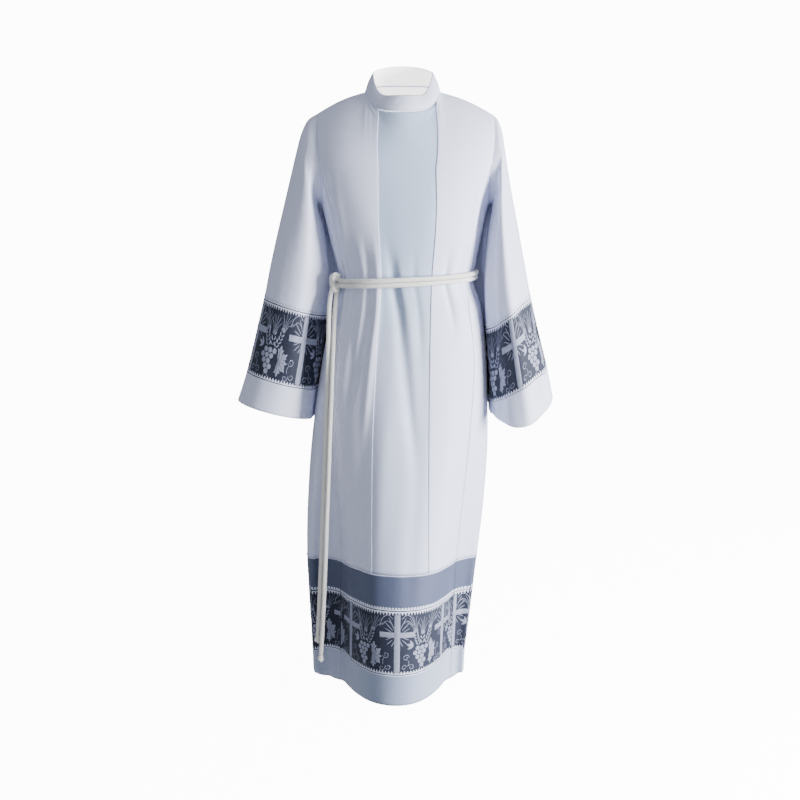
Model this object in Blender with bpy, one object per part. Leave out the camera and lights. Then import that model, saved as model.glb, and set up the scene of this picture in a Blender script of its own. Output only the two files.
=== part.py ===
"""An alb: a long liturgical robe of light cloth with a stand collar, set-in sleeves, a pleated front,
lace bands on the skirt and the sleeves, and a cord tied round the waist.

The robe hangs from the neck and shoulders of its wearer. The origin is at the neck, the front faces -Y,
the wearer's left is +X, and all sizes are in metres. Each cut piece of cloth is a closed wall of its own.
An angle round the body is 0 at the centre front and grows towards +X.
"""

import math
from typing import Callable, NamedTuple

import bmesh
import bpy
import numpy as np

# Cloth
WALL = 0.0012  # thickness of the cloth
SEAM_GAP = 0.0003  # between two pieces that are sewn together
COLLAR_WALL = 0.0022  # the stand is doubled and stiffened

# Heights below the neck point
YOKE_Z = -0.185  # from here up the panels close over the shoulders
UNDERARM_Z = -0.270
SHEER_TOP_Z = -1.085
LACE_TOP_Z = -1.167
LACE_FOOT_Z = -1.317
HEM_Z = -1.390
HEM_RISE = (0.024, 0.018)  # how much higher the hem hangs at the wearer's right and left side
HEM_RISE_FROM = 66.0  # degrees from the front

# Neck and shoulders
NECK_X = -0.003  # centre of the neck opening
NECK_HALF_WIDTH = 0.082
NECK_FRONT = 0.090
NECK_BACK = 0.068
NECK_FRONT_Z = -0.065
NECK_SIDE_Z = -0.020
NECK_BACK_Z = -0.004
NECK_TURN = 0.25  # the length over which the columns turn to the sides of the neck
NECK_CROWD = 1.6  # keeps the front's columns upright where they meet the neckline
CHEST_ROUND = 0.42  # how far each curve holds its direction, as a share of its length
SHOULDER_ROUND = 0.14
NECK_ROUND = 0.22  # more than that, at the middle of the neckline
TIP_RIGHT = (-0.194, 0.004, -0.067)
TIP_LEFT = (0.198, 0.004, -0.069)

# Collar stand, at its upper edge
STAND_HALF_WIDTH = 0.0655
STAND_FRONT = 0.076
STAND_BACK = 0.060
STAND_FRONT_Z = -0.031
STAND_SIDE_Z = 0.022
STAND_BACK_Z = 0.040

# Front pleats: each edge folds under by PLEAT_UNDERLAP and lies on two more layers
PLEAT_UNDERLAP = 0.015
PLEAT_PITCH = 0.0021  # from one layer to the next
PLEAT_TRIM = 2.6  # the hidden layers end this many times their depth below the neckline

# Cincture
ROPE = 0.0104  # diameter
BELT_Z = -0.430
BELT_EASE = 0.0048  # it bridges the gathers, so it lies this far off their mean
BELT_TILT = 0.008  # how much higher it lies on the wearer's left
KNOT_ANGLE = -71.0
KNOT_OUT = 0.0146  # from the cloth to the middle of the knot
KNOT_SIZE = (0.0135, 0.0125, 0.0200)  # half sizes
END_KNOT_SIZE = (0.0078, 0.0078, 0.0100)
STRAND_START = 5.3  # degrees between the knot and the start of a strand

# Rows and columns of the walls
TOP = -0.0004
YOKE_ROWS = (TOP, -0.014, -0.036, -0.064, -0.094, -0.124, -0.155)
TORSO_ROWS = (YOKE_Z, -0.240, -0.295, -0.345, -0.385, -0.417, -0.445, -0.480, -0.525)
SKIRT_ROWS = (-0.585, -0.660, -0.740, -0.825, -0.910, -1.000, SHEER_TOP_Z + SEAM_GAP / 2)
GORE_COLUMNS = 8
FRONT_BAND_COLUMNS = 16
BACK_BAND_COLUMNS = 18
COLLAR_COLUMNS = 32
STRAND_POINTS = 64
TAIL_POINTS = 36


class Band(NamedTuple):
    """A band of the skirt: its finish, its upper and lower edge, and the steps between them."""

    name: str
    finish: str
    top: float
    foot: float
    steps: int


BANDS = (
    Band("sheer", "sheer", top=SHEER_TOP_Z, foot=LACE_TOP_Z, steps=2),
    Band("lace", "lace", top=LACE_TOP_Z, foot=LACE_FOOT_Z, steps=3),
    Band("hem", "cloth", top=LACE_FOOT_Z, foot=HEM_Z, steps=2),
)


class Section(NamedTuple):
    """The body's outline at one height: how far it reaches to each side, and how square it is."""

    z: float
    right: float
    left: float
    front: float
    back: float
    square: float


SECTIONS = (
    Section(z=-0.185, right=-0.205, left=0.212, front=0.118, back=0.112, square=2.50),
    Section(z=-0.270, right=-0.183, left=0.187, front=0.122, back=0.117, square=2.40),
    Section(z=-0.350, right=-0.165, left=0.171, front=0.122, back=0.114, square=2.30),
    Section(z=-0.418, right=-0.148, left=0.154, front=0.116, back=0.106, square=2.25),
    Section(z=-0.444, right=-0.148, left=0.154, front=0.116, back=0.106, square=2.25),
    Section(z=-0.500, right=-0.160, left=0.174, front=0.124, back=0.120, square=2.20),
    Section(z=-0.590, right=-0.182, left=0.188, front=0.134, back=0.136, square=2.15),
    Section(z=-0.790, right=-0.213, left=0.195, front=0.148, back=0.150, square=2.10),
    Section(z=-0.965, right=-0.227, left=0.186, front=0.156, back=0.156, square=2.05),
    Section(z=-1.085, right=-0.230, left=0.173, front=0.162, back=0.159, square=2.00),
    Section(z=-1.167, right=-0.227, left=0.164, front=0.166, back=0.161, square=2.00),
    Section(z=-1.317, right=-0.220, left=0.148, front=0.174, back=0.164, square=2.00),
    Section(z=-1.390, right=-0.218, left=0.144, front=0.179, back=0.166, square=2.00),
)


class SeamRow(NamedTuple):
    """How far each long seam and pleat edge lies from the middle, at one height."""

    z: float
    right_seam: float
    right_pleat: float
    left_pleat: float
    left_seam: float
    back_right: float
    back_left: float


SEAM_ROWS = (
    SeamRow(-0.185, -0.183, -0.056, 0.069, 0.189, -0.180, 0.186),
    SeamRow(-0.290, -0.158, -0.056, 0.070, 0.164, -0.150, 0.156),
    SeamRow(-0.430, -0.137, -0.050, 0.061, 0.139, -0.122, 0.128),
    SeamRow(-0.600, -0.150, -0.061, 0.057, 0.156, -0.140, 0.144),
    SeamRow(-0.790, -0.155, -0.070, 0.056, 0.147, -0.152, 0.138),
    SeamRow(-1.085, -0.151, -0.072, 0.056, 0.125, -0.158, 0.108),
    SeamRow(-1.390, -0.155, -0.073, 0.057, 0.112, -0.160, 0.092),
)


class Fold(NamedTuple):
    """A soft ridge, or a trough where depth is negative, that runs down the cloth between two heights."""

    angle: float
    spread: float
    depth: float
    top: float
    foot: float
    grow: float  # the length over which it rises and fades
    sideways: float = 1.0  # 0 where it only goes forwards and back


FOLDS = (
    Fold(angle=-52, spread=27, depth=-0.170, top=-0.54, foot=-2.40, grow=0.86, sideways=0.0),
    Fold(angle=63, spread=26, depth=-0.145, top=-0.54, foot=-2.40, grow=0.86, sideways=0.0),
    Fold(angle=20, spread=22, depth=0.012, top=-0.60, foot=-1.70, grow=0.60, sideways=0.0),
    Fold(angle=-38, spread=6, depth=-0.006, top=-0.70, foot=-1.70, grow=0.40),
    Fold(angle=50, spread=6, depth=-0.005, top=-0.70, foot=-1.70, grow=0.40),
    Fold(angle=140, spread=13, depth=0.008, top=-0.50, foot=-1.60, grow=0.60),
    Fold(angle=163, spread=10, depth=-0.009, top=-0.46, foot=-1.60, grow=0.50),
    Fold(angle=183, spread=11, depth=0.008, top=-0.46, foot=-1.60, grow=0.50),
    Fold(angle=203, spread=10, depth=-0.009, top=-0.46, foot=-1.60, grow=0.50),
    Fold(angle=226, spread=13, depth=0.007, top=-0.50, foot=-1.60, grow=0.60),
    Fold(angle=-48, spread=6, depth=-0.0040, top=-0.30, foot=-0.62, grow=0.10),
    Fold(angle=-36, spread=6, depth=0.0035, top=-0.30, foot=-0.64, grow=0.11),
    Fold(angle=-7, spread=6, depth=-0.0030, top=-0.31, foot=-0.56, grow=0.10),
    Fold(angle=42, spread=7, depth=0.0030, top=-0.30, foot=-0.60, grow=0.10),
    Fold(angle=150, spread=7, depth=-0.0040, top=-0.28, foot=-0.60, grow=0.11),
    Fold(angle=172, spread=7, depth=0.0035, top=-0.28, foot=-0.56, grow=0.10),
    Fold(angle=197, spread=7, depth=-0.0035, top=-0.30, foot=-0.56, grow=0.10),
    Fold(angle=216, spread=7, depth=0.0035, top=-0.28, foot=-0.58, grow=0.10),
)


class SleeveRow(NamedTuple):
    """One ring of a sleeve: its outer and its inner point seen from the front, and its depth."""

    outer_x: float
    outer_z: float
    inner_x: float
    inner_z: float
    mid_y: float
    half_depth: float
    drop: float  # how much lower its front point lies
    loop: float  # how much of the armhole's own shape it keeps
    tuck: float  # how far its inner back swings in behind the body


# x is the distance from the middle on either side; row 0 is the armhole itself
RIGHT_SLEEVE = (
    SleeveRow(0.1940, -0.067, 0.1830, -0.2700, 0.004, 0.068, 0.0, 1.00, 0.0),
    SleeveRow(0.2130, -0.079, 0.1895, -0.2635, 0.005, 0.070, 0.0, 0.72, 0.0),
    SleeveRow(0.2270, -0.104, 0.1945, -0.2680, 0.006, 0.074, 0.0, 0.40, 0.0),
    SleeveRow(0.2375, -0.140, 0.1925, -0.2850, 0.008, 0.079, 0.0, 0.12, 0.016),
    SleeveRow(0.2565, -0.212, 0.1810, -0.3250, 0.013, 0.082, 0.0, 0.00, 0.030),
    SleeveRow(0.2840, -0.318, 0.1720, -0.3950, 0.018, 0.081, 0.0, 0.00, 0.038),
    SleeveRow(0.3040, -0.400, 0.1715, -0.4550, 0.020, 0.080, 0.0, 0.00, 0.038),
    SleeveRow(0.3205, -0.477, 0.1785, -0.5180, 0.020, 0.079, 0.0, 0.00, 0.034),
    SleeveRow(0.3410, -0.560, 0.1880, -0.6010, 0.018, 0.079, 0.0, 0.00, 0.028),
    SleeveRow(0.3630, -0.645, 0.2010, -0.6870, 0.016, 0.079, 0.0, 0.00, 0.022),
    SleeveRow(0.3860, -0.714, 0.2110, -0.7570, 0.014, 0.079, 0.0, 0.00, 0.012),
)
LEFT_SLEEVE = (
    SleeveRow(0.1980, -0.069, 0.1870, -0.2700, 0.004, 0.068, 0.0, 1.00, 0.0),
    SleeveRow(0.2085, -0.080, 0.1935, -0.2635, 0.003, 0.070, 0.0, 0.72, 0.0),
    SleeveRow(0.2175, -0.104, 0.1985, -0.2680, 0.001, 0.074, 0.0, 0.40, 0.0),
    SleeveRow(0.2235, -0.140, 0.1975, -0.2850, -0.001, 0.080, 0.0, 0.12, 0.016),
    SleeveRow(0.2355, -0.212, 0.1900, -0.3300, -0.004, 0.084, 0.0, 0.00, 0.030),
    SleeveRow(0.2550, -0.310, 0.1830, -0.4050, -0.008, 0.085, 0.0, 0.00, 0.038),
    SleeveRow(0.2710, -0.390, 0.1815, -0.4750, -0.010, 0.084, 0.0, 0.00, 0.038),
    SleeveRow(0.2860, -0.466, 0.1860, -0.5460, -0.012, 0.083, 0.0, 0.00, 0.034),
    SleeveRow(0.3060, -0.550, 0.1930, -0.6300, -0.014, 0.084, 0.0, 0.00, 0.028),
    SleeveRow(0.3270, -0.631, 0.1985, -0.7110, -0.016, 0.085, 0.0, 0.00, 0.026),
    SleeveRow(0.3420, -0.700, 0.2060, -0.7430, -0.018, 0.086, 0.034, 0.00, 0.018),
)
SLEEVE_CLEAR = 0.0055  # between the hanging sleeve and the body
BELT_REACH = 0.036  # how far above and below the cord the sleeve keeps clear of it
LACE_ROW = 7  # the sleeve ring where the lace begins
CUFF_ROW = 9  # the sleeve ring where the cuff band begins
HEM_ROW = 10
FRONT_ARC = 128.0  # degrees of the sleeve's ring on the front armhole; as many lie on the back


class RoutePoint(NamedTuple):
    """A point that a hanging cord passes through."""

    x: float
    y: float
    z: float


OUTER_TAIL = (
    RoutePoint(-0.1615, -0.0520, -0.4514),
    RoutePoint(-0.1664, -0.0620, -0.4800),
    RoutePoint(-0.1679, -0.0690, -0.5150),
    RoutePoint(-0.1692, -0.0750, -0.5600),
    RoutePoint(-0.1708, -0.0785, -0.6200),
    RoutePoint(-0.1738, -0.0797, -0.7000),
    RoutePoint(-0.1780, -0.0800, -0.7900),
    RoutePoint(-0.1822, -0.0800, -0.8850),
    RoutePoint(-0.1864, -0.0797, -0.9700),
    RoutePoint(-0.1896, -0.0793, -1.0400),
    RoutePoint(-0.1930, -0.0790, -1.1100),
    RoutePoint(-0.1961, -0.0785, -1.1700),
    RoutePoint(-0.1989, -0.0772, -1.2200),
    RoutePoint(-0.2018, -0.0758, -1.2620),
)
INNER_TAIL = (
    RoutePoint(-0.1512, -0.0480, -0.4549),
    RoutePoint(-0.1527, -0.0590, -0.4800),
    RoutePoint(-0.1553, -0.0672, -0.5150),
    RoutePoint(-0.1575, -0.0757, -0.5600),
    RoutePoint(-0.1601, -0.0838, -0.6200),
    RoutePoint(-0.1637, -0.0872, -0.7000),
    RoutePoint(-0.1680, -0.0880, -0.7900),
    RoutePoint(-0.1722, -0.0880, -0.8850),
    RoutePoint(-0.1763, -0.0877, -0.9700),
    RoutePoint(-0.1794, -0.0873, -1.0400),
    RoutePoint(-0.1825, -0.0870, -1.1100),
    RoutePoint(-0.1856, -0.0865, -1.1700),
    RoutePoint(-0.1891, -0.0860, -1.2300),
    RoutePoint(-0.1920, -0.0855, -1.2750),
    RoutePoint(-0.1942, -0.0850, -1.3050),
)

Vec = np.ndarray
Surface = Callable[[float, float], Vec]


# ---------------------------------------------------------------- numbers


def table_at(rows: tuple, key: str, value: float) -> dict:
    """Reads a table at any height, on a smooth curve through its rows."""
    keys = [getattr(row, key) for row in rows]
    up = keys[0] < keys[-1]
    order = rows if up else rows[::-1]
    keys = sorted(keys)
    value = min(max(value, keys[0]), keys[-1])
    i = min(max(int(np.searchsorted(keys, value)) - 1, 0), len(keys) - 2)
    t = (value - keys[i]) / (keys[i + 1] - keys[i])
    near = [order[min(max(i + k, 0), len(order) - 1)] for k in (-1, 0, 1, 2)]
    at = [keys[min(max(i + k, 0), len(keys) - 1)] for k in (-1, 0, 1, 2)]
    out = {}
    for name in rows[0]._fields:
        if name == key:
            continue
        p = [getattr(row, name) for row in near]
        span = at[2] - at[1]
        m1 = (p[2] - p[0]) / max(at[2] - at[0], 1e-9) * span
        m2 = (p[3] - p[1]) / max(at[3] - at[1], 1e-9) * span
        out[name] = hermite(p[1], p[2], m1, m2, t)
    return out


def hermite(a, b, slope_a, slope_b, t: float):
    """A cubic from a to b with the slopes given at its ends."""
    t2, t3 = t * t, t * t * t
    rise = 3 * t2 - 2 * t3
    return a * (1 - rise) + b * rise + slope_a * (t3 - 2 * t2 + t) + slope_b * (t3 - t2)


def smooth(t: float) -> float:
    """Rises from 0 to 1 with level ends."""
    t = min(max(t, 0.0), 1.0)
    return t * t * (3 - 2 * t)


def power(value: float, exponent: float) -> float:
    """A signed power, which squares a circle's sine or cosine."""
    return math.copysign(abs(value) ** exponent, value)


def unit(v: Vec) -> Vec:
    """The vector at length one."""
    return v / max(float(np.linalg.norm(v)), 1e-12)


# ---------------------------------------------------------------- body


def fold_lift(angle: float, z: float) -> tuple:
    """How far the folds stand out sideways, and how far forwards or back, at an angle and a height."""
    sideways, forwards = 0.0, 0.0
    for fold in FOLDS:
        turn = (angle - fold.angle + 180.0) % 360.0 - 180.0
        reach = smooth((fold.top - z) / fold.grow) * smooth((z - fold.foot) / fold.grow)
        lift = fold.depth * math.exp(-((turn / fold.spread) ** 2)) * reach
        sideways += lift * fold.sideways
        forwards += lift
    return sideways, forwards


def middle_half(cut: dict) -> tuple:
    """The middle of a section from side to side, and half of its width."""
    return (cut["right"] + cut["left"]) / 2, (cut["left"] - cut["right"]) / 2


def ring_point(angle: float, z: float, folded: float = 1.0) -> Vec:
    """A point of the body's wall, halfway through the cloth, below the yoke, with or without its folds."""
    cut = table_at(SECTIONS, "z", z)
    sine, cosine = math.sin(math.radians(angle)), math.cos(math.radians(angle))
    exponent = 2.0 / cut["square"]
    middle, half = middle_half(cut)
    depth = cut["front"] if cosine > 0 else cut["back"]
    sideways, forwards = fold_lift(angle, z)
    x = middle + half * power(sine, exponent) + sideways * folded * sine
    y = -depth * power(cosine, exponent) - forwards * folded * cosine
    return np.array((x, y, z))


def seam_angle(name: str, z: float) -> float:
    """The angle at which a long seam lies at a height."""
    z = min(z, YOKE_Z)
    cut = table_at(SECTIONS, "z", z)
    x = table_at(SEAM_ROWS, "z", z)[name]
    middle, half = middle_half(cut)
    share = min(abs((x - middle) / half), 0.999)
    angle = math.degrees(math.asin(share ** (cut["square"] / 2)))
    angle = math.copysign(angle, x - middle)
    if name.startswith("back"):
        return 180.0 - angle
    return angle


def neck_point(turn: float) -> Vec:
    """A point of the neckline; turn is 0 at the front, 90 at the wearer's left and 180 at the back."""
    sine, cosine = math.sin(math.radians(turn)), math.cos(math.radians(turn))
    depth, end_z = (NECK_FRONT, NECK_FRONT_Z) if cosine > 0 else (NECK_BACK, NECK_BACK_Z)
    z = NECK_SIDE_Z + (end_z - NECK_SIDE_Z) * smooth(abs(cosine))
    return np.array((NECK_X + NECK_HALF_WIDTH * sine, -depth * cosine, z))


def neck_side_angle(side: int, back: bool) -> float:
    """The body angle of the column that ends at the side of the neck."""
    cut = table_at(SECTIONS, "z", YOKE_Z)
    middle, half = middle_half(cut)
    x = NECK_X + side * NECK_HALF_WIDTH
    angle = math.degrees(math.asin(abs((x - middle) / half) ** (cut["square"] / 2)))
    return 180.0 - side * angle if back else side * angle


def seam_name(side: int, back: bool) -> str:
    """The long seam on one side of the front or of the back."""
    hand = "left" if side > 0 else "right"
    return f"back_{hand}" if back else f"{hand}_seam"


def yoke_top(angle: float) -> tuple:
    """Where a column of the yoke ends, on the neckline or the shoulder seam, and its handle there."""
    back = abs((angle + 180.0) % 360.0 - 180.0) > 90.0
    off = (180.0 - angle) if back else angle
    off = (off + 180.0) % 360.0 - 180.0
    side = 1 if off >= 0 else -1
    inner = abs(neck_side_angle(side, False))
    edge = seam_angle(seam_name(side, back), YOKE_Z)
    edge = abs(180.0 - edge) if back else abs(edge)
    away = 1.0 if back else -1.0
    if abs(off) <= inner:
        turn = 90.0 * (abs(off) / inner) ** (1.0 if back else NECK_CROWD)
        point = neck_point(180.0 - side * turn if back else side * turn)
        steep = 1.0 - smooth(turn / 90.0)
        fall = unit(np.array((0.0, away, -(0.75 if back else 2.2) * steep)))
        return point, fall * (SHOULDER_ROUND + NECK_ROUND * steep)
    share = (abs(off) - inner) / (edge - inner)
    start, tip = neck_point(90.0 * side), np.array(TIP_LEFT if side > 0 else TIP_RIGHT)
    point = start + (tip - start) * share
    point[2] += 0.006 * math.sin(math.pi * min(share, 1.0))
    return point, np.array((0.0, away * SHOULDER_ROUND, 0.0))


def body_point(angle: float, h: float) -> Vec:
    """A point of the body's wall. Below the yoke h is its height; above, it runs to 0 at the top edge."""
    if h <= YOKE_Z:
        return ring_point(angle, h)
    base = ring_point(angle, YOKE_Z)
    rise = unit(base - ring_point(angle, YOKE_Z - 0.02))
    top, fall = yoke_top(angle)
    long = float(np.linalg.norm(top - base))
    t = 1.0 - h / YOKE_Z
    b1 = base + rise * CHEST_ROUND * long
    b2 = top + fall * long
    return (
        base * (1 - t) ** 3
        + b1 * 3 * t * (1 - t) ** 2
        + b2 * 3 * t * t * (1 - t)
        + top * t**3
    )


def normal_of(surface: Surface, u: float, v: float, du: float, dv: float) -> Vec:
    """The surface's normal, from its neighbours on each side."""
    along = surface(u + du, v) - surface(u - du, v)
    across = surface(u, v + dv) - surface(u, v - dv)
    return unit(np.cross(along, across))


def body_normal(angle: float, h: float) -> Vec:
    """The body's outward normal."""
    h = min(h, -0.004)
    if abs(h - YOKE_Z) < 0.004:
        return unit(body_normal(angle, YOKE_Z + 0.006) + body_normal(angle, YOKE_Z - 0.006))
    return normal_of(body_point, angle, h, 0.6, 0.002)


# ---------------------------------------------------------------- walls


class Stitch(NamedTuple):
    """One station across a panel: an angle, a step along the cloth from it, a lift, and the wall's normal."""

    angle: float
    step: float
    lift: float
    lean: float  # the normal's part along the cloth
    rise: float  # the normal's part outwards


class Wall(NamedTuple):
    """The two skins of a piece of cloth, each a grid of points, row by row."""

    outer: Vec
    inner: Vec


def flat_run(start: float, end: float, count: int, lift: float = 0.0) -> list:
    """Stations at even angles, flat on the body, without the last one."""
    return [Stitch(float(a), 0.0, lift, 0.0, 1.0) for a in np.linspace(start, end, count + 1)[:-1]]


def hairpin(angle: float, middle: tuple, start: float, end: float) -> list:
    """The round of a folded edge, about its middle (step, lift), from one direction to another in degrees."""
    radius = PLEAT_PITCH / 2
    sign = 1.0 if end < start else -1.0
    out = []
    for turn in np.radians(np.linspace(start, end, 5)):
        c, s = math.cos(turn), math.sin(turn)
        out.append(Stitch(angle, middle[0] + radius * c, middle[1] + radius * s, sign * c, sign * s))
    return out


def trimmed(path: list) -> list:
    """Draws the two ends of a panel in by half of the gap at a seam."""
    trim = SEAM_GAP / 2
    path[0] = path[0]._replace(step=trim)
    path[-1] = path[-1]._replace(step=-trim)
    return path


def neck_share(h: float) -> float:
    """How far a panel's columns have turned to meet the sides of the neck, from 0 at the chest to 1."""
    return smooth((h - (YOKE_Z - NECK_TURN)) / NECK_TURN)


def pleated_front(h: float) -> list:
    """The stations across the front: side, pleat edge, fold under, middle, and the same again."""
    z = min(h, YOKE_Z)
    start, end = seam_angle("right_seam", z), seam_angle("left_seam", z)
    near, far = seam_angle("right_pleat", z), seam_angle("left_pleat", z)
    high = neck_share(h)
    before = (start + near) / 2 * (1 - high) + neck_side_angle(-1, False) * high
    after = (end + far) / 2 * (1 - high) + neck_side_angle(1, False) * high
    half, deep = -PLEAT_PITCH / 2, -PLEAT_PITCH * 1.5
    radius = PLEAT_PITCH / 2
    path = flat_run(start, before, 4) + flat_run(before, near, 4)
    path += hairpin(near, (-radius, half), 90, -90)
    path += hairpin(near, (radius - PLEAT_UNDERLAP, deep), 90, 270)
    path += flat_run(near, far, 6, lift=-2 * PLEAT_PITCH)
    path += hairpin(far, (PLEAT_UNDERLAP - radius, deep), -90, 90)
    path += hairpin(far, (radius, half), 270, 90)
    path += flat_run(far, after, 4)[1:] + flat_run(after, end, 4)
    path.append(Stitch(end, 0.0, 0.0, 0.0, 1.0))
    return trimmed(path)


def plain_run(start: Callable[[float], float], end: Callable[[float], float], count: int) -> Callable:
    """Stations across a panel without pleats, between two seams."""

    def stations(h: float) -> list:
        z = min(h, YOKE_Z)
        path = flat_run(start(z), end(z), count)
        path.append(Stitch(end(z), 0.0, 0.0, 0.0, 1.0))
        return trimmed(path)

    return stations


def back_run(h: float) -> list:
    """The stations across the back, from the wearer's left to the right, with columns at the neck's sides."""
    z = min(h, YOKE_Z)
    start, end = seam_angle("back_left", z), seam_angle("back_right", z)
    high = neck_share(h)
    third = (end - start) / 3
    near = (start + third) * (1 - high) + neck_side_angle(1, True) * high
    far = (end - third) * (1 - high) + neck_side_angle(-1, True) * high
    path = flat_run(start, near, 4) + flat_run(near, far, 10) + flat_run(far, end, 4)
    path.append(Stitch(end, 0.0, 0.0, 0.0, 1.0))
    return trimmed(path)


def hung(angle: float, h: float) -> float:
    """A height, raised towards the hem at the sides and the back."""
    if h > LACE_FOOT_Z:
        return h
    angle = (angle + 180.0) % 360.0 - 180.0
    near_left = smooth((math.sin(math.radians(angle)) + 1.0) / 2)
    rise = HEM_RISE[0] + (HEM_RISE[1] - HEM_RISE[0]) * near_left
    return h + rise * smooth((abs(angle) - HEM_RISE_FROM) / 24.0) * (LACE_FOOT_Z - h) / (LACE_FOOT_Z - HEM_Z)


def skins(stitch: Stitch, h: float) -> tuple:
    """The outer and the inner point of the cloth at one station and height."""
    h = hung(stitch.angle, h)
    scale = float(np.linalg.norm(body_point(stitch.angle + 0.5, h) - body_point(stitch.angle - 0.5, h)))
    if abs(stitch.step) > PLEAT_PITCH:
        h = min(h, TOP + PLEAT_TRIM * min(stitch.lift, 0.0))
    out = []
    for way in (0.5, -0.5):
        step = stitch.step + way * WALL * stitch.lean
        lift = stitch.lift + way * WALL * stitch.rise
        angle = stitch.angle + step / max(scale, 1e-6)
        out.append(body_point(angle, h) + body_normal(angle, h) * lift)
    return tuple(out)


def body_wall(heights: list, stations: Callable) -> Wall:
    """A panel of the body, from its stations at each height."""
    rows = [[skins(stitch, h) for stitch in stations(h)] for h in heights]
    grid = np.array(rows)
    return Wall(grid[:, :, 0], grid[:, :, 1])


def wall_mesh(name: str, wall: Wall, closed: bool) -> bpy.types.Mesh:
    """One closed body from the two skins of a piece; closed says that its columns go all the way round."""
    bm = bmesh.new()
    rows, columns = wall.outer.shape[:2]
    skins_of = [[[bm.verts.new(p) for p in row] for row in skin] for skin in (wall.outer, wall.inner)]
    outer, inner = skins_of
    last = columns if closed else columns - 1
    for i in range(rows - 1):
        for j in range(last):
            k = (j + 1) % columns
            bm.faces.new((outer[i][j], outer[i + 1][j], outer[i + 1][k], outer[i][k]))
            bm.faces.new((inner[i][k], inner[i + 1][k], inner[i + 1][j], inner[i][j]))
    for j in range(last):
        k = (j + 1) % columns
        bm.faces.new((outer[0][k], inner[0][k], inner[0][j], outer[0][j]))
        bm.faces.new((outer[-1][j], inner[-1][j], inner[-1][k], outer[-1][k]))
    if not closed:
        for i in range(rows - 1):
            bm.faces.new((outer[i][0], inner[i][0], inner[i + 1][0], outer[i + 1][0]))
            bm.faces.new((outer[i + 1][-1], inner[i + 1][-1], inner[i][-1], outer[i][-1]))
    bmesh.ops.recalc_face_normals(bm, faces=bm.faces)
    bmesh.ops.triangulate(bm, faces=bm.faces)
    mesh = bpy.data.meshes.new(name)
    bm.to_mesh(mesh)
    bm.free()
    return mesh


# ---------------------------------------------------------------- sleeves


def gore_top(share: float) -> float:
    """The height of the side panel's upper edge; share runs from -1 at the front seam to 1 at the back."""
    return UNDERARM_Z + (YOKE_Z - UNDERARM_Z) * abs(share) ** 2.2


def gore_angle(side: int, share: float, z: float) -> float:
    """The angle of a column of the side panel at a height."""
    front = seam_angle(seam_name(side, False), z)
    back = seam_angle(seam_name(side, True), z)
    if side < 0:
        back -= 360.0
    return front + (back - front) * (share + 1) / 2


def armhole(side: int, turn: float) -> tuple:
    """A point of the armhole and the body's normal there; turn is 0 at the shoulder and 90 at the front."""
    turn %= 360.0
    if FRONT_ARC <= turn <= 360.0 - FRONT_ARC:
        share = (turn - 180.0) / (180.0 - FRONT_ARC)
        z = gore_top(share)
        angle = gore_angle(side, share, z)
        normal = body_normal(angle, z)
        ends = []
        for near in (share - 0.02, share + 0.02):
            near = min(max(near, -1.0), 1.0)
            ends.append(ring_point(gore_angle(side, near, gore_top(near)), gore_top(near)))
        away = unit(np.cross(normal, ends[1] - ends[0])) * side
        return ring_point(angle, z) + away * SEAM_GAP, normal
    back = turn > 180.0
    down = (360.0 - turn if back else turn) / FRONT_ARC
    angle = seam_angle(seam_name(side, back), YOKE_Z)
    outwards = 0.5 * side * (-1 if back else 1)
    h = YOKE_Z * down
    point = body_point(angle, h)
    away = unit(body_point(angle + outwards, h) - point)
    return point + away * SEAM_GAP, body_normal(angle, h)


def body_reach(side: int, y: float, z: float) -> float:
    """How far the body and the cord round it stand out to one side at a depth and a height."""
    cut = table_at(SECTIONS, "z", z)
    middle, half = middle_half(cut)
    share = min(abs(y) / (cut["front"] if y < 0 else cut["back"]), 1.0)
    cord = (WALL / 2 + ROPE + BELT_EASE) * smooth(2.2 - abs(z - BELT_Z) / BELT_REACH)
    return side * middle + half * (1.0 - share ** cut["square"]) ** (1.0 / cut["square"]) + cord


def sleeve_ring(side: int, row: SleeveRow, turns: list) -> Vec:
    """One ring of a sleeve, as a loop of points."""
    outer = np.array((side * row.outer_x, row.mid_y, row.outer_z))
    inner = np.array((side * row.inner_x, row.mid_y, row.inner_z))
    middle, reach = (outer + inner) / 2, (outer - inner) / 2
    ring = []
    for turn in turns:
        c, s = math.cos(math.radians(turn)), math.sin(math.radians(turn))
        point = middle + reach * c + np.array((0.0, -row.half_depth * s, -row.drop * max(s, 0.0) ** 2))
        if row.tuck > 0.0 and c < 0.0:
            swing = row.tuck * max(math.sin(math.radians(2 * turn)), 0.0) ** 0.6 if s < 0.0 else 0.0
            clear = body_reach(side, point[1], point[2]) + SLEEVE_CLEAR
            point[0] = side * max(side * point[0] - swing, clear)
        if row.loop > 0.0:
            loop = armhole(side, turn)[0]
            slide = (outer - armhole(side, 0.0)[0]) * (1 + c) / 2
            slide += (inner - armhole(side, 180.0)[0]) * (1 - c) / 2
            point = point * (1 - row.loop) + (loop + slide) * row.loop
        ring.append(point)
    return np.array(ring)


def sleeve_turns() -> list:
    """The sleeve's columns, which meet the rows of the yoke and the columns of the side panel."""
    front = [FRONT_ARC * h / YOKE_Z for h in YOKE_ROWS[1:]]
    under = [float(t) for t in np.linspace(FRONT_ARC, 360.0 - FRONT_ARC, GORE_COLUMNS + 1)]
    return [0.0] + front + under + [360.0 - t for t in reversed(front)]


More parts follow.
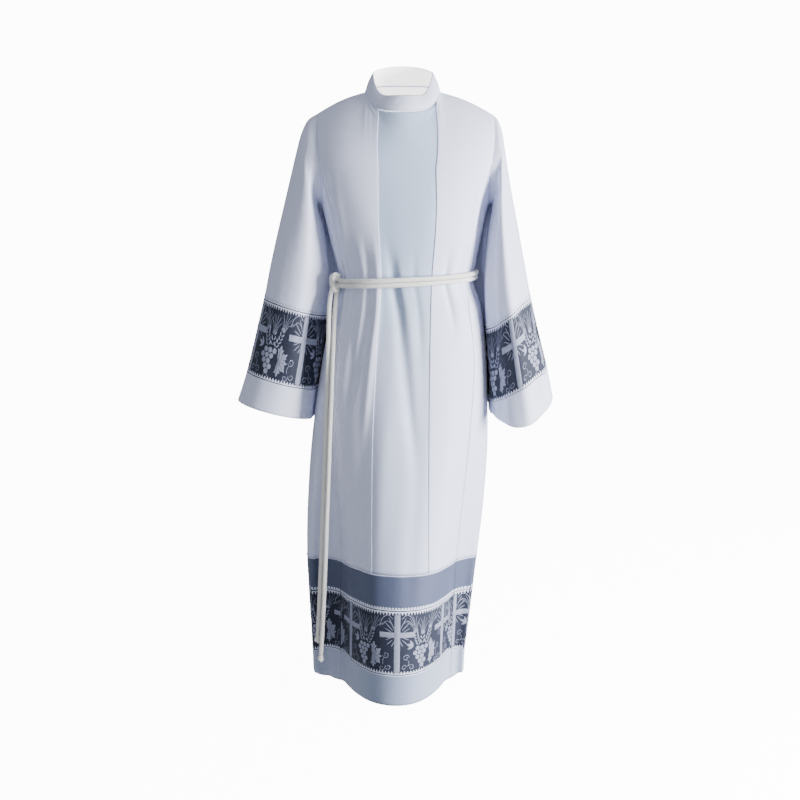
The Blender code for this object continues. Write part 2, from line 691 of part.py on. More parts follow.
def sleeve_walls(side: int) -> dict:
    """The sleeve's upper, its lace band and its cuff band, each a wall that goes all the way round."""
    table = RIGHT_SLEEVE if side < 0 else LEFT_SLEEVE
    turns = sleeve_turns()
    rings = [sleeve_ring(side, row, turns) for row in table]
    rings[0] = np.array([armhole(side, turn)[0] for turn in turns])
    rows, marks = [], {}
    for k, ring in enumerate(rings):
        marks[k] = len(rows)
        rows.append(ring)
        if 3 <= k < HEM_ROW:
            before, after = rings[k - 1], rings[k + 1]
            past = rings[min(k + 2, HEM_ROW)]
            rows.append((9 * (ring + after) - before - past) / 16)
    grid = np.array(rows)
    along = np.gradient(grid, axis=0)
    across = np.roll(grid, -1, axis=1) - np.roll(grid, 1, axis=1)
    normals = np.cross(along, across) * -side
    normals /= np.linalg.norm(normals, axis=2, keepdims=True)
    normals[0] = [armhole(side, turn)[1] for turn in turns]
    pieces = {}
    parts = (("upper", 0, LACE_ROW), ("lace", LACE_ROW, CUFF_ROW), ("cuff", CUFF_ROW, HEM_ROW))
    for name, start, end in parts:
        part = grid[marks[start] : marks[end] + 1].copy()
        facing = normals[marks[start] : marks[end] + 1]
        if start > 0:
            part[0] += unit_rows(part[1] - part[0]) * SEAM_GAP / 2
        if end < HEM_ROW:
            part[-1] -= unit_rows(part[-1] - part[-2]) * SEAM_GAP / 2
        pieces[name] = Wall(part + facing * WALL / 2, part - facing * WALL / 2)
    return pieces


def unit_rows(v: Vec) -> Vec:
    """Each vector of a list at length one."""
    return v / np.linalg.norm(v, axis=-1, keepdims=True)


# ---------------------------------------------------------------- collar


def collar_wall() -> Wall:
    """The stand: a band that rises from the neckline and leans in, lower at the front."""
    outer, inner = [], []
    lift = WALL / 2 + 5 * SEAM_GAP
    for share in (0.0, 0.3, 0.65, 1.0):
        row_out, row_in = [], []
        for turn in np.linspace(0.0, 360.0, COLLAR_COLUMNS, endpoint=False):
            s, c = math.sin(math.radians(turn)), math.cos(math.radians(turn))
            base = neck_point(float(turn)) + np.array((0.0, 0.0, lift))
            depth, end_z = (STAND_FRONT, STAND_FRONT_Z) if c > 0 else (STAND_BACK, STAND_BACK_Z)
            z = STAND_SIDE_Z + (end_z - STAND_SIDE_Z) * smooth(abs(c) * 1.15)
            top = np.array((NECK_X + STAND_HALF_WIDTH * s, -depth * c, z))
            point = base + (top - base) * share
            point[:2] += np.array((s, -c)) * 0.0022 * math.sin(math.pi * share)
            away = unit(np.array((s / NECK_HALF_WIDTH, -c / NECK_BACK, 0.0)))
            row_out.append(point + away * COLLAR_WALL / 2)
            row_in.append(point - away * COLLAR_WALL / 2)
        outer.append(row_out)
        inner.append(row_in)
    return Wall(np.array(outer), np.array(inner))


# ---------------------------------------------------------------- cincture


def belt_z(angle: float) -> float:
    """The height of the cord round the waist."""
    return BELT_Z + BELT_TILT * math.sin(math.radians(angle))


def knot_middle() -> Vec:
    """The middle of the knot at the waist."""
    z = belt_z(KNOT_ANGLE)
    return ring_point(KNOT_ANGLE, z) + body_normal(KNOT_ANGLE, z) * KNOT_OUT


def strand_route(level: int) -> list:
    """One of the two strands round the waist, from the knot all the way round to it."""
    out = WALL / 2 + ROPE / 2 + BELT_EASE
    route = []
    for angle in np.linspace(KNOT_ANGLE + STRAND_START, KNOT_ANGLE + 360.0 - STRAND_START, STRAND_POINTS):
        z = belt_z(float(angle)) + level * (ROPE + SEAM_GAP) / 2
        normal = np.array((math.sin(math.radians(angle)), -math.cos(math.radians(angle)) * 1.3, 0.0))
        point = ring_point(float(angle), z, 0.0) + unit(normal) * out
        route.append(tuple(point))
    return route


def smooth_route(points: tuple, count: int) -> list:
    """Even points on a smooth curve through a route's own points."""
    p = np.array(points)
    p = np.vstack((2 * p[0] - p[1], p, 2 * p[-1] - p[-2]))
    fine = []
    for i in range(1, len(p) - 2):
        for t in np.linspace(0.0, 1.0, 12, endpoint=False):
            fine.append(hermite(p[i], p[i + 1], (p[i + 1] - p[i - 1]) / 2, (p[i + 2] - p[i]) / 2, float(t)))
    fine.append(p[-2])
    fine = np.array(fine)
    along = np.concatenate(([0.0], np.cumsum(np.linalg.norm(np.diff(fine, axis=0), axis=1))))
    at = np.linspace(0.0, along[-1], count)
    return [tuple(np.interp(a, along, fine[:, k]) for k in range(3)) for a in at]


def cord_object(name: str, route: list, finish: str) -> bpy.types.Object:
    """A round cord along a route."""
    curve = bpy.data.curves.new(name, "CURVE")
    curve.dimensions = "3D"
    curve.bevel_depth = ROPE / 2
    curve.bevel_resolution = 2
    curve.use_fill_caps = True
    spline = curve.splines.new("POLY")
    spline.points.add(len(route) - 1)
    for point, place in zip(spline.points, route):
        point.co = (*place, 1.0)
    return add_object(name, curve, finish)


def knot_mesh(name: str, middle: Vec, half: tuple, wraps: int, deep: float) -> bpy.types.Mesh:
    """A tied lump of cord: a rounded body with wraps that climb round it."""
    bm = bmesh.new()
    bmesh.ops.create_uvsphere(bm, u_segments=18, v_segments=12, radius=1.0)
    for vert in bm.verts:
        around = math.atan2(vert.co.y, vert.co.x)
        height = math.asin(min(max(vert.co.z, -1.0), 1.0))
        ridge = math.cos(wraps * 2.0 * height + around) * math.cos(height)
        swell = 1.0 - deep * 0.5 * (1.0 - ridge)
        for k in range(3):
            vert.co[k] = middle[k] + vert.co[k] * half[k] * swell
    bmesh.ops.triangulate(bm, faces=bm.faces)
    mesh = bpy.data.meshes.new(name)
    bm.to_mesh(mesh)
    bm.free()
    return mesh


# ---------------------------------------------------------------- objects

FINISHES = {
    "cloth": ((0.74, 0.77, 0.88), 0.72),
    "sheer": ((0.22, 0.27, 0.40), 0.80),
    "lace": ((0.30, 0.33, 0.44), 0.85),
    "cord": ((0.88, 0.86, 0.79), 0.78),
}


def finish_of(name: str, slot: str) -> bpy.types.Material:
    """A material of a sub-part's own, in one of the finishes."""
    colour, roughness = FINISHES[slot]
    material = bpy.data.materials.new(f"{slot}_{name}")
    material.use_nodes = True
    shader = material.node_tree.nodes["Principled BSDF"]
    shader.inputs["Base Color"].default_value = (*colour, 1.0)
    shader.inputs["Roughness"].default_value = roughness
    shader.inputs["Metallic"].default_value = 0.0
    return material


def add_object(name: str, data, slot: str) -> bpy.types.Object:
    """Places a finished mesh or curve in the scene."""
    data.materials.append(finish_of(name, slot))
    item = bpy.data.objects.new(name, data)
    bpy.context.collection.objects.link(item)
    return item


def add_wall(name: str, wall: Wall, slot: str, closed: bool = False) -> bpy.types.Object:
    """Places a piece of cloth in the scene, shaded smooth but for its edges."""
    mesh = wall_mesh(name, wall, closed)
    mesh.shade_smooth()
    mesh.set_sharp_from_angle(angle=math.radians(50))
    return add_object(name, mesh, slot)


def build_panels() -> None:
    """The front, the back and the two side panels of undecorated cloth."""
    heights = list(YOKE_ROWS + TORSO_ROWS + SKIRT_ROWS)
    add_wall("front_panel", body_wall(heights, pleated_front), "cloth")
    add_wall("back_panel", body_wall(heights, back_run), "cloth")
    for side, hand in ((-1, "right"), (1, "left")):
        add_wall(f"side_panel_{hand}", gore_wall(side), "cloth")


def gore_wall(side: int) -> Wall:
    """A side panel, whose upper edge dips under the arm."""
    shares = np.linspace(-1.0, 1.0, GORE_COLUMNS + 1)
    lower = TORSO_ROWS[3:] + SKIRT_ROWS
    rows = []
    for height in TORSO_ROWS[:3]:
        part = (YOKE_Z - height) / (YOKE_Z - lower[0])
        rows.append([gore_top(s) - SEAM_GAP / 2 + (lower[0] - gore_top(s)) * part for s in shares])
    rows += [[z] * len(shares) for z in lower]
    outer, inner = [], []
    for heights in rows:
        row = []
        for k, (share, z) in enumerate(zip(shares, heights)):
            trim = SEAM_GAP / 2 if k == 0 else -SEAM_GAP / 2 if k == GORE_COLUMNS else 0.0
            row.append(skins(Stitch(gore_angle(side, share, z), trim * side, 0.0, 0.0, 1.0), z))
        outer.append([p[0] for p in row])
        inner.append([p[1] for p in row])
    return Wall(np.array(outer), np.array(inner))


def seam_line(name: str, full_turn: float = 0.0) -> Callable[[float], float]:
    """The angle of a long seam as a function of height."""
    return lambda z: seam_angle(name, z) + full_turn


def build_bands() -> None:
    """The sheer, lace and hem bands of the skirt, sewn to each panel before the long seams are closed."""
    spans = (
        ("front", seam_line("right_seam"), seam_line("left_seam"), FRONT_BAND_COLUMNS),
        ("left", seam_line("left_seam"), seam_line("back_left"), GORE_COLUMNS),
        ("back", seam_line("back_left"), seam_line("back_right"), BACK_BAND_COLUMNS),
        ("right", seam_line("back_right"), seam_line("right_seam", 360.0), GORE_COLUMNS),
    )
    for band in BANDS:
        end = band.foot if band.foot == HEM_Z else band.foot + SEAM_GAP / 2
        heights = [float(z) for z in np.linspace(band.top - SEAM_GAP / 2, end, band.steps + 1)]
        for place, start, stop, count in spans:
            wall = body_wall(heights, plain_run(start, stop, count))
            add_wall(f"{band.name}_band_{place}", wall, band.finish)


def build_sleeves() -> None:
    """Both sleeves; the wearer's right is on the -X side."""
    for side, hand in ((-1, "right"), (1, "left")):
        pieces = sleeve_walls(side)
        add_wall(f"sleeve_{hand}", pieces["upper"], "cloth", closed=True)
        add_wall(f"sleeve_lace_{hand}", pieces["lace"], "lace", closed=True)
        add_wall(f"cuff_{hand}", pieces["cuff"], "cloth", closed=True)


def build_cincture() -> None:
    """The cord: two strands round the waist, the knot, and two hanging tails with knotted ends."""
    cord_object("cord_strand_upper", strand_route(1), "cord")
    cord_object("cord_strand_lower", strand_route(-1), "cord")
    middle = knot_middle()
    add_object("cord_knot", knot_mesh("cord_knot", middle, KNOT_SIZE, 3, 0.22), "cord")
    for name, points in (("outer", OUTER_TAIL), ("inner", INNER_TAIL)):
        route = smooth_route(points, TAIL_POINTS)
        cord_object(f"cord_tail_{name}", route, "cord")
        end = np.array(route[-1])
        down = unit(end - np.array(route[-2]))
        place = end + down * (END_KNOT_SIZE[2] * 0.9 + SEAM_GAP)
        add_object(f"cord_end_{name}", knot_mesh(f"cord_end_{name}", place, END_KNOT_SIZE, 2, 0.2), "cord")


def main() -> None:
    """Clears the scene and builds the alb."""
    for item in list(bpy.data.objects):
        bpy.data.objects.remove(item)
    build_panels()
    build_sleeves()
    add_wall("collar_stand", collar_wall(), "cloth", closed=True)
    build_bands()
    build_cincture()


main()
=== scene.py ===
"""Dresses the alb: cloth shells, lace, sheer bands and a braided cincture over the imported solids.

The robe hangs open on its own form. The front faces -Y, the wearer's left is +X, and the origin is at the
neck. An angle round the body is 0 at the centre front and grows towards +X. All sizes are in metres.
"""

from __future__ import annotations

import logging
import math
from dataclasses import dataclass, field
from enum import Enum
from functools import lru_cache, partial
from typing import Callable, NamedTuple

import bmesh
import bpy
import numpy as np
from mathutils import Matrix, Vector

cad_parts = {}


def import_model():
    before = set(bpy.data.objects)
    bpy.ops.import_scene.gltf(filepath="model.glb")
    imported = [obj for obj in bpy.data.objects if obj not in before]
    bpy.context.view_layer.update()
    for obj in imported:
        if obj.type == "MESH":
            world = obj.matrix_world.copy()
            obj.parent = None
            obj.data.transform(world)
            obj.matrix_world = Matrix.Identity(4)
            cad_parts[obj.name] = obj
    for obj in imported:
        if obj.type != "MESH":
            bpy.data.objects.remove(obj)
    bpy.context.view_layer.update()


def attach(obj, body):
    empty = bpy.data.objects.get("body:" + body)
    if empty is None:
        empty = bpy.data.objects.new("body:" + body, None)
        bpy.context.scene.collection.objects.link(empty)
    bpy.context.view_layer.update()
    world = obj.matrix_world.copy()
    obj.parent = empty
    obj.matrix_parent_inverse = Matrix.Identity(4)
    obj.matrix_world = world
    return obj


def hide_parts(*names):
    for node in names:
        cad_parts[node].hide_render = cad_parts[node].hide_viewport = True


LOG = logging.getLogger("alb")
Array = np.ndarray
Place = Callable[[Array, Array, Array], Array]

# Cloth
WALL = 0.0012  # the room that a solid wall gives to its cloth
CLOTH = 0.0008  # thickness of the cloth itself
SEAM_GAP = 0.0003

HANDS = {-1: "right", 1: "left"}  # the wearer's hand on each side of the middle

# Heights below the neck point
YOKE_Z = -0.185
UNDERARM_Z = -0.270
SHEER_TOP_Z = -1.085
LACE_TOP_Z = -1.167
LACE_FOOT_Z = -1.317
HEM_Z = -1.390
HEM_RISE = (0.024, 0.018)  # how much higher the hem hangs at the right and the left side
HEM_RISE_FROM, HEM_RISE_OVER = 66.0, 24.0  # degrees from the front, and degrees over which it rises
HEM_WAVES = ((-70, 8, 0.010), (-45, 7, -0.006), (69, 8, 0.009))  # middle, spread, rise
SLEEVE_CLEAR = 0.0055  # between the hanging sleeve and the body
GORE_DIP = 2.2  # how flat the underarm is in the middle
CREASE_FADE = (1.6, 1.4)  # rings over which a sleeve's crease grows and fades
BELT_REACH = 0.036  # how far above and below the cord the sleeve keeps clear of it

# Neck and shoulders
NECK_X = -0.003
NECK_HALF_WIDTH = 0.082
NECK_FRONT = 0.090
NECK_BACK = 0.068
NECK_FRONT_Z = -0.065
NECK_SIDE_Z = -0.020
NECK_BACK_Z = -0.004
NECK_TURN = 0.25  # the height over which the columns turn to meet the sides of the neck
NECK_CROWD = 1.6  # how much the columns crowd towards the front of the neckline
NECK_FALL = (2.2, 0.75)  # how steeply the cloth falls from the neckline at the front and the back
SHOULDER_BOW = 0.006  # how far the shoulder seam bows up
CHEST_ROUND = 0.42
SHOULDER_ROUND = 0.14
NECK_ROUND = 0.22
TIP_RIGHT = (-0.194, 0.004, -0.067)
TIP_LEFT = (0.198, 0.004, -0.069)

# How each column over the shoulders takes after its neighbours: how far off they are, in shares of
# YOKE_REACH, and their weights
YOKE_SPREAD = ((-1.5, 0.15), (-0.75, 0.2), (0.0, 0.3), (0.75, 0.2), (1.5, 0.15))
YOKE_REACH = 3.5  # degrees
YOKE_FADE = (0.060, 0.030)  # the heights over which that fades out, at the top edge and at the yoke's foot
YOKE_BELOW = 0.02  # how far below the yoke's foot its curves take their first direction
EDGE_Z = -0.004  # where the normals of the upper edge are taken
NORMAL_STEP = (0.6, 0.002)  # degrees and metres between the neighbours that give a normal
YOKE_EASE = (0.004, 0.006)  # how near the yoke's foot normals are evened out, and from how far off

# Collar stand
STAND_HALF_WIDTH = 0.0655
STAND_FRONT = 0.076
STAND_BACK = 0.060
STAND_FRONT_Z = -0.031
STAND_SIDE_Z = 0.022
STAND_BACK_Z = 0.040
STAND_WALL = 0.0018

# Front pleats
PLEAT_UNDERLAP = 0.015
PLEAT_PITCH = 0.0021  # from one layer of a folded edge to the next
PLEAT_TRIM = 2.6  # how much lower the folded layers end, for each metre that they lie behind
TOP = -0.0004  # the cloth's upper edge, below the neckline and the shoulder seam

# Cincture
ROPE = 0.0104
BELT_Z = -0.430
BELT_EASE = 0.0048  # between the cord and the cloth, for its folds
BELT_TILT = 0.008  # how much higher the cord lies at the left
KNOT_ANGLE = -71.0
KNOT_OUT = 0.0146  # from the cloth to the middle of the knot
STRAND_START = 5.3  # degrees from the knot to each end of a strand

# Lace
REPEAT = 0.145  # from one cross to the next


class Finish(Enum):
    """The robe's finishes, by the record's material slots."""

    CLOTH = "cloth"
    SHEER = "sheer"
    LACE = "lace"
    CORD = "cord"


class Section(NamedTuple):
    """The body's outline at one height."""

    z: float
    right: float
    left: float
    front: float
    back: float
    square: float


class SeamRow(NamedTuple):
    """How far each long seam and pleat edge lies from the middle, at one height."""

    z: float
    right_seam: float
    right_pleat: float
    left_pleat: float
    left_seam: float
    back_right: float
    back_left: float


class Fold(NamedTuple):
    """A soft ridge, or a trough where depth is negative, that runs down the cloth between two heights."""

    angle: float
    spread: float
    depth: float
    top: float
    foot: float
    grow: float
    drift: float = 0.0  # degrees that it turns aside on each metre down
    sideways: float = 1.0


class SleeveRow(NamedTuple):
    """One ring of a sleeve: its outer and inner point seen from the front, and its depth."""

    outer_x: float
    outer_z: float
    inner_x: float
    inner_z: float
    mid_y: float
    half_depth: float
    drop: float
    loop: float
    tuck: float  # how far its inner back swings in behind the body


class SleeveFold(NamedTuple):
    """A soft ridge or trough along a sleeve, between two of its rings."""

    turn: float
    spread: float
    depth: float
    start: float
    end: float
    drift: float = 0.0  # degrees per ring


class RoutePoint(NamedTuple):
    """A point that a hanging cord passes through."""

    x: float
    y: float
    z: float


def table(kind: type, *rows: tuple) -> tuple:
    """Rows of bare numbers as named rows of one kind."""
    return tuple(kind(*row) for row in rows)


SECTIONS = table(
    Section,  # z, right, left, front, back, square
    (-0.185, -0.205, 0.212, 0.118, 0.112, 2.5), (-0.27, -0.183, 0.187, 0.122, 0.117, 2.4),
    (-0.35, -0.165, 0.171, 0.122, 0.114, 2.3), (-0.418, -0.148, 0.154, 0.116, 0.106, 2.25),
    (-0.444, -0.148, 0.154, 0.116, 0.106, 2.25), (-0.5, -0.16, 0.174, 0.124, 0.12, 2.2),
    (-0.59, -0.182, 0.188, 0.134, 0.136, 2.15), (-0.79, -0.213, 0.195, 0.148, 0.15, 2.1),
    (-0.965, -0.227, 0.186, 0.156, 0.156, 2.05), (-1.085, -0.23, 0.173, 0.162, 0.159, 2.0),
    (-1.167, -0.227, 0.164, 0.166, 0.161, 2.0), (-1.317, -0.22, 0.148, 0.174, 0.164, 2.0),
    (-1.39, -0.218, 0.144, 0.179, 0.166, 2.0),
)
SEAM_ROWS = table(
    SeamRow,  # z, right_seam, right_pleat, left_pleat, left_seam, back_right, back_left
    (-0.185, -0.183, -0.056, 0.069, 0.189, -0.18, 0.186),
    (-0.29, -0.158, -0.056, 0.07, 0.164, -0.15, 0.156),
    (-0.43, -0.137, -0.05, 0.061, 0.139, -0.122, 0.128),
    (-0.6, -0.15, -0.061, 0.057, 0.156, -0.14, 0.144),
    (-0.79, -0.155, -0.07, 0.056, 0.147, -0.152, 0.138),
    (-1.085, -0.151, -0.072, 0.056, 0.125, -0.158, 0.108),
    (-1.39, -0.155, -0.073, 0.057, 0.112, -0.16, 0.092),
)
FOLDS = table(
    Fold,  # angle, spread, depth, top, foot, grow, drift, sideways
    (-52, 27, -0.17, -0.54, -2.4, 0.86, 0.0, 0.0), (63, 26, -0.145, -0.54, -2.4, 0.86, 0.0, 0.0),
    (20, 22, 0.012, -0.6, -1.7, 0.6, 0.0, 0.0), (-38, 6, -0.006, -0.7, -1.7, 0.4),
    (50, 6, -0.005, -0.7, -1.7, 0.4), (140, 13, 0.008, -0.5, -1.6, 0.6),
    (163, 10, -0.009, -0.46, -1.6, 0.5), (183, 11, 0.008, -0.46, -1.6, 0.5),
    (203, 10, -0.009, -0.46, -1.6, 0.5), (226, 13, 0.007, -0.5, -1.6, 0.6),
    (-48, 6, -0.004, -0.3, -0.62, 0.1), (-36, 6, 0.0035, -0.3, -0.64, 0.11),
    (-7, 6, -0.003, -0.31, -0.56, 0.1), (42, 7, 0.003, -0.3, -0.6, 0.1),
    (150, 7, -0.004, -0.28, -0.6, 0.11), (172, 7, 0.0035, -0.28, -0.56, 0.1),
    (197, 7, -0.0035, -0.3, -0.56, 0.1), (216, 7, 0.0035, -0.28, -0.58, 0.1),
)

# Finer creases of the cloth itself, over the main folds
WAIST_GATHERS = table(
    Fold,  # angle, spread, depth, top, foot, grow, drift, sideways
    (-64, 3.0, -0.0065, -0.33, -0.56, 0.085, -12), (-57, 2.6, 0.0022, -0.35, -0.54, 0.08),
    (-41, 3.4, -0.0058, -0.31, -0.76, 0.14, 10), (-29, 2.8, -0.0046, -0.32, -0.72, 0.13, -12),
    (33, 2.6, -0.0046, -0.35, -0.56, 0.085, 6), (49, 2.8, -0.0053, -0.33, -0.57, 0.09, 8),
    (60, 3.0, 0.0028, -0.32, -0.56, 0.09), (75, 3.2, -0.0026, -0.31, -0.6, 0.1, 10),
    (102, 3.4, -0.002, -0.32, -0.6, 0.1), (122, 3.0, 0.0025, -0.33, -0.57, 0.09),
    (140, 2.8, -0.0057, -0.33, -0.6, 0.095), (158, 2.6, -0.0049, -0.33, -0.59, 0.095, 6),
    (180, 2.6, -0.0057, -0.33, -0.6, 0.095), (191, 2.4, 0.002, -0.34, -0.56, 0.085),
    (207, 2.6, -0.0057, -0.33, -0.6, 0.095, -6), (226, 2.8, -0.0049, -0.33, -0.58, 0.095),
    (246, 3.2, -0.0053, -0.32, -0.59, 0.1), (270, 3.4, -0.0049, -0.32, -0.59, 0.1),
    (-13, 3.6, -0.0062, -0.31, -0.88, 0.17, 42), (-20.5, 2.8, 0.0046, -0.31, -0.84, 0.16, -6),
    (-5.0, 2.6, 0.0022, -0.34, -0.62, 0.11, 30), (4.0, 2.6, -0.0026, -0.34, -0.64, 0.11, 20),
    (-34, 13, -0.0045, -0.27, -0.5, 0.13), (88, 14, 0.004, -0.35, -0.53, 0.06),
)
SKIRT_RUNS = table(
    Fold,  # angle, spread, depth, top, foot, grow, drift, sideways
    (-24, 5.0, -0.0033, -0.52, -1.25, 0.24, 4), (-8, 6.0, 0.0027, -0.56, -1.42, 0.26, -5),
    (9, 5.5, -0.003, -0.5, -1.3, 0.26, 6), (30, 6.0, 0.0027, -0.56, -1.44, 0.24),
    (-66, 6.0, 0.0039, -0.56, -1.44, 0.26), (-82, 5.0, -0.0039, -0.56, -1.44, 0.26),
    (84, 5.0, -0.0042, -0.56, -1.44, 0.26), (98, 5.0, 0.0036, -0.6, -1.44, 0.26),
    (116, 6.0, -0.0042, -0.56, -1.44, 0.26), (150, 5.0, 0.0042, -0.52, -1.44, 0.26, -4),
    (172, 5.0, 0.0039, -0.52, -1.44, 0.26), (194, 5.0, -0.0039, -0.54, -1.44, 0.26),
    (214, 5.0, 0.0039, -0.54, -1.44, 0.26, 4), (240, 5.5, -0.0039, -0.56, -1.44, 0.26),
    (258, 5.0, 0.0033, -0.56, -1.44, 0.26),
)
CHEST_RUNS = table(
    Fold,  # angle, spread, depth, top, foot, grow, drift, sideways
    (-46, 5.0, 0.003, -0.17, -0.42, 0.12, -30), (-12, 8.0, -0.0018, -0.17, -0.42, 0.12),
    (13, 7.0, 0.0015, -0.17, -0.42, 0.12), (52, 4.5, 0.0033, -0.17, -0.42, 0.12, 34),
    (62, 3.5, -0.0033, -0.17, -0.4, 0.11, 24), (162, 6.0, 0.003, -0.17, -0.42, 0.13),
    (198, 6.0, 0.003, -0.17, -0.42, 0.13), (180, 7.0, -0.003, -0.17, -0.42, 0.13),
)
CREASES = WAIST_GATHERS + SKIRT_RUNS + CHEST_RUNS

# The sleeves, ring by ring from the armhole to the hem
RIGHT_SLEEVE = table(
    SleeveRow,  # outer_x, outer_z, inner_x, inner_z, mid_y, half_depth, drop, loop, tuck
    (0.194, -0.067, 0.183, -0.27, 0.004, 0.068, 0.0, 1.0, 0.0),
    (0.213, -0.079, 0.1895, -0.2635, 0.005, 0.07, 0.0, 0.72, 0.0),
    (0.227, -0.104, 0.1945, -0.268, 0.006, 0.074, 0.0, 0.4, 0.0),
    (0.2375, -0.14, 0.1925, -0.285, 0.008, 0.079, 0.0, 0.12, 0.016),
    (0.2565, -0.212, 0.181, -0.325, 0.013, 0.082, 0.0, 0.0, 0.03),
    (0.284, -0.318, 0.172, -0.395, 0.018, 0.081, 0.0, 0.0, 0.038),
    (0.304, -0.4, 0.1715, -0.455, 0.02, 0.08, 0.0, 0.0, 0.038),
    (0.3205, -0.477, 0.1785, -0.518, 0.02, 0.079, 0.0, 0.0, 0.034),
    (0.341, -0.56, 0.188, -0.601, 0.018, 0.079, 0.0, 0.0, 0.028),
    (0.363, -0.645, 0.201, -0.687, 0.016, 0.079, 0.0, 0.0, 0.022),
    (0.386, -0.714, 0.211, -0.757, 0.014, 0.079, 0.0, 0.0, 0.012),
)
LEFT_SLEEVE = table(
    SleeveRow,  # outer_x, outer_z, inner_x, inner_z, mid_y, half_depth, drop, loop, tuck
    (0.198, -0.069, 0.187, -0.27, 0.004, 0.068, 0.0, 1.0, 0.0),
    (0.2085, -0.08, 0.1935, -0.2635, 0.003, 0.07, 0.0, 0.72, 0.0),
    (0.2175, -0.104, 0.1985, -0.268, 0.001, 0.074, 0.0, 0.4, 0.0),
    (0.2235, -0.14, 0.1975, -0.285, -0.001, 0.08, 0.0, 0.12, 0.016),
    (0.2355, -0.212, 0.19, -0.33, -0.004, 0.084, 0.0, 0.0, 0.03),
    (0.255, -0.31, 0.183, -0.405, -0.008, 0.085, 0.0, 0.0, 0.038),
    (0.271, -0.39, 0.1815, -0.475, -0.01, 0.084, 0.0, 0.0, 0.038),
    (0.286, -0.466, 0.186, -0.546, -0.012, 0.083, 0.0, 0.0, 0.034),
    (0.306, -0.55, 0.193, -0.63, -0.014, 0.084, 0.0, 0.0, 0.028),
    (0.327, -0.631, 0.1985, -0.711, -0.016, 0.085, 0.0, 0.0, 0.026),
    (0.342, -0.7, 0.206, -0.743, -0.018, 0.086, 0.034, 0.0, 0.018),
)
LACE_ROW, CUFF_ROW, HEM_ROW = 7, 9, 10  # the rings where the lace, the cuff and the hem lie
FRONT_ARC = 128.0  # degrees of the armhole that each of the front and the back takes up
RIGHT_CREASES = table(
    SleeveFold,  # turn, spread, depth, start, end, drift
    (132, 13, -0.0022, 0.6, 9.0, -1.5), (108, 12, 0.0021, 0.8, 9.5, -1.0),
    (62, 16, -0.0018, 1.0, 10.6, 1.5), (24, 15, 0.0015, 1.5, 10.6), (158, 8, 0.002, 2.0, 7.5, 2.0),
    (205, 12, -0.0024, 2.0, 9.5, 2.0), (240, 12, 0.0024, 2.5, 10.6), (285, 14, -0.0024, 1.5, 10.6, 1.0),
    (325, 14, 0.0018, 2.0, 10.6),
)
LEFT_CREASES = table(
    SleeveFold,  # turn, spread, depth, start, end, drift
    (222, 22, 0.0075, 3.6, 7.4), (92, 11, 0.0044, 3.0, 10.8, -1.0), (64, 12, -0.0038, 2.2, 10.8, -1.0),
    (36, 12, 0.0024, 2.5, 10.8), (126, 12, -0.0044, 1.2, 10.8, 1.0), (154, 9, 0.0026, 1.6, 9.0),
    (208, 14, 0.0034, 2.0, 10.0, 2.0), (250, 12, -0.003, 2.0, 10.8), (290, 13, -0.0034, 2.0, 10.8),
    (328, 13, 0.0028, 2.0, 10.8),
)

# The hanging tails of the cord
OUTER_TAIL = table(
    RoutePoint,  # x, y, z
    (-0.1615, -0.052, -0.4514), (-0.1664, -0.062, -0.48), (-0.1679, -0.069, -0.515),
    (-0.1692, -0.075, -0.56), (-0.1708, -0.0785, -0.62), (-0.1738, -0.0797, -0.7), (-0.178, -0.08, -0.79),
    (-0.1822, -0.08, -0.885), (-0.1864, -0.0797, -0.97), (-0.1896, -0.0793, -1.04),
    (-0.193, -0.079, -1.11), (-0.1961, -0.0785, -1.17), (-0.1989, -0.0772, -1.22),
    (-0.2018, -0.0758, -1.262),
)
INNER_TAIL = table(
    RoutePoint,  # x, y, z
    (-0.1512, -0.048, -0.4549), (-0.1527, -0.059, -0.48), (-0.1553, -0.0672, -0.515),
    (-0.1575, -0.0757, -0.56), (-0.1601, -0.0838, -0.62), (-0.1637, -0.0872, -0.7),
    (-0.168, -0.088, -0.79), (-0.1722, -0.088, -0.885), (-0.1763, -0.0877, -0.97),
    (-0.1794, -0.0873, -1.04), (-0.1825, -0.087, -1.11), (-0.1856, -0.0865, -1.17),
    (-0.1891, -0.086, -1.23), (-0.192, -0.0855, -1.275), (-0.1942, -0.085, -1.305),
)


# ---- numbers


def smooth(t: Array | float) -> Array:
    """Rises from 0 to 1 with level ends."""
    t = np.clip(t, 0.0, 1.0)
    return t * t * (3 - 2 * t)


def unit(v: Array) -> Array:
    """Vectors at length one, along the last axis."""
    return v / np.maximum(np.linalg.norm(v, axis=-1, keepdims=True), 1e-12)


def signed_power(value: Array, exponent: Array | float) -> Array:
    """A signed power, which squares a circle's sine or cosine."""
    return np.sign(value) * np.abs(value) ** exponent


def wrapped(angle: Array) -> Array:
    """An angle between -180 and 180 degrees."""
    return (np.asarray(angle, dtype=float) + 180.0) % 360.0 - 180.0


def sine_cosine(angle: Array) -> tuple[Array, Array]:
    """The sine and the cosine of an angle in degrees."""
    return np.sin(np.radians(angle)), np.cos(np.radians(angle))


def paired(a: Array, b: Array) -> list:
    """Two arrays of numbers, brought to the same shape."""
    return np.broadcast_arrays(np.asarray(a, dtype=float), np.asarray(b, dtype=float))


def hermite(a: Array, b: Array, slope_a: Array, slope_b: Array, t: Array) -> Array:
    """A cubic from a to b with the slopes given at its ends."""
    t2, t3 = t * t, t * t * t
    rise = 3 * t2 - 2 * t3
    return a * (1 - rise) + b * rise + slope_a * (t3 - 2 * t2 + t) + slope_b * (t3 - t2)


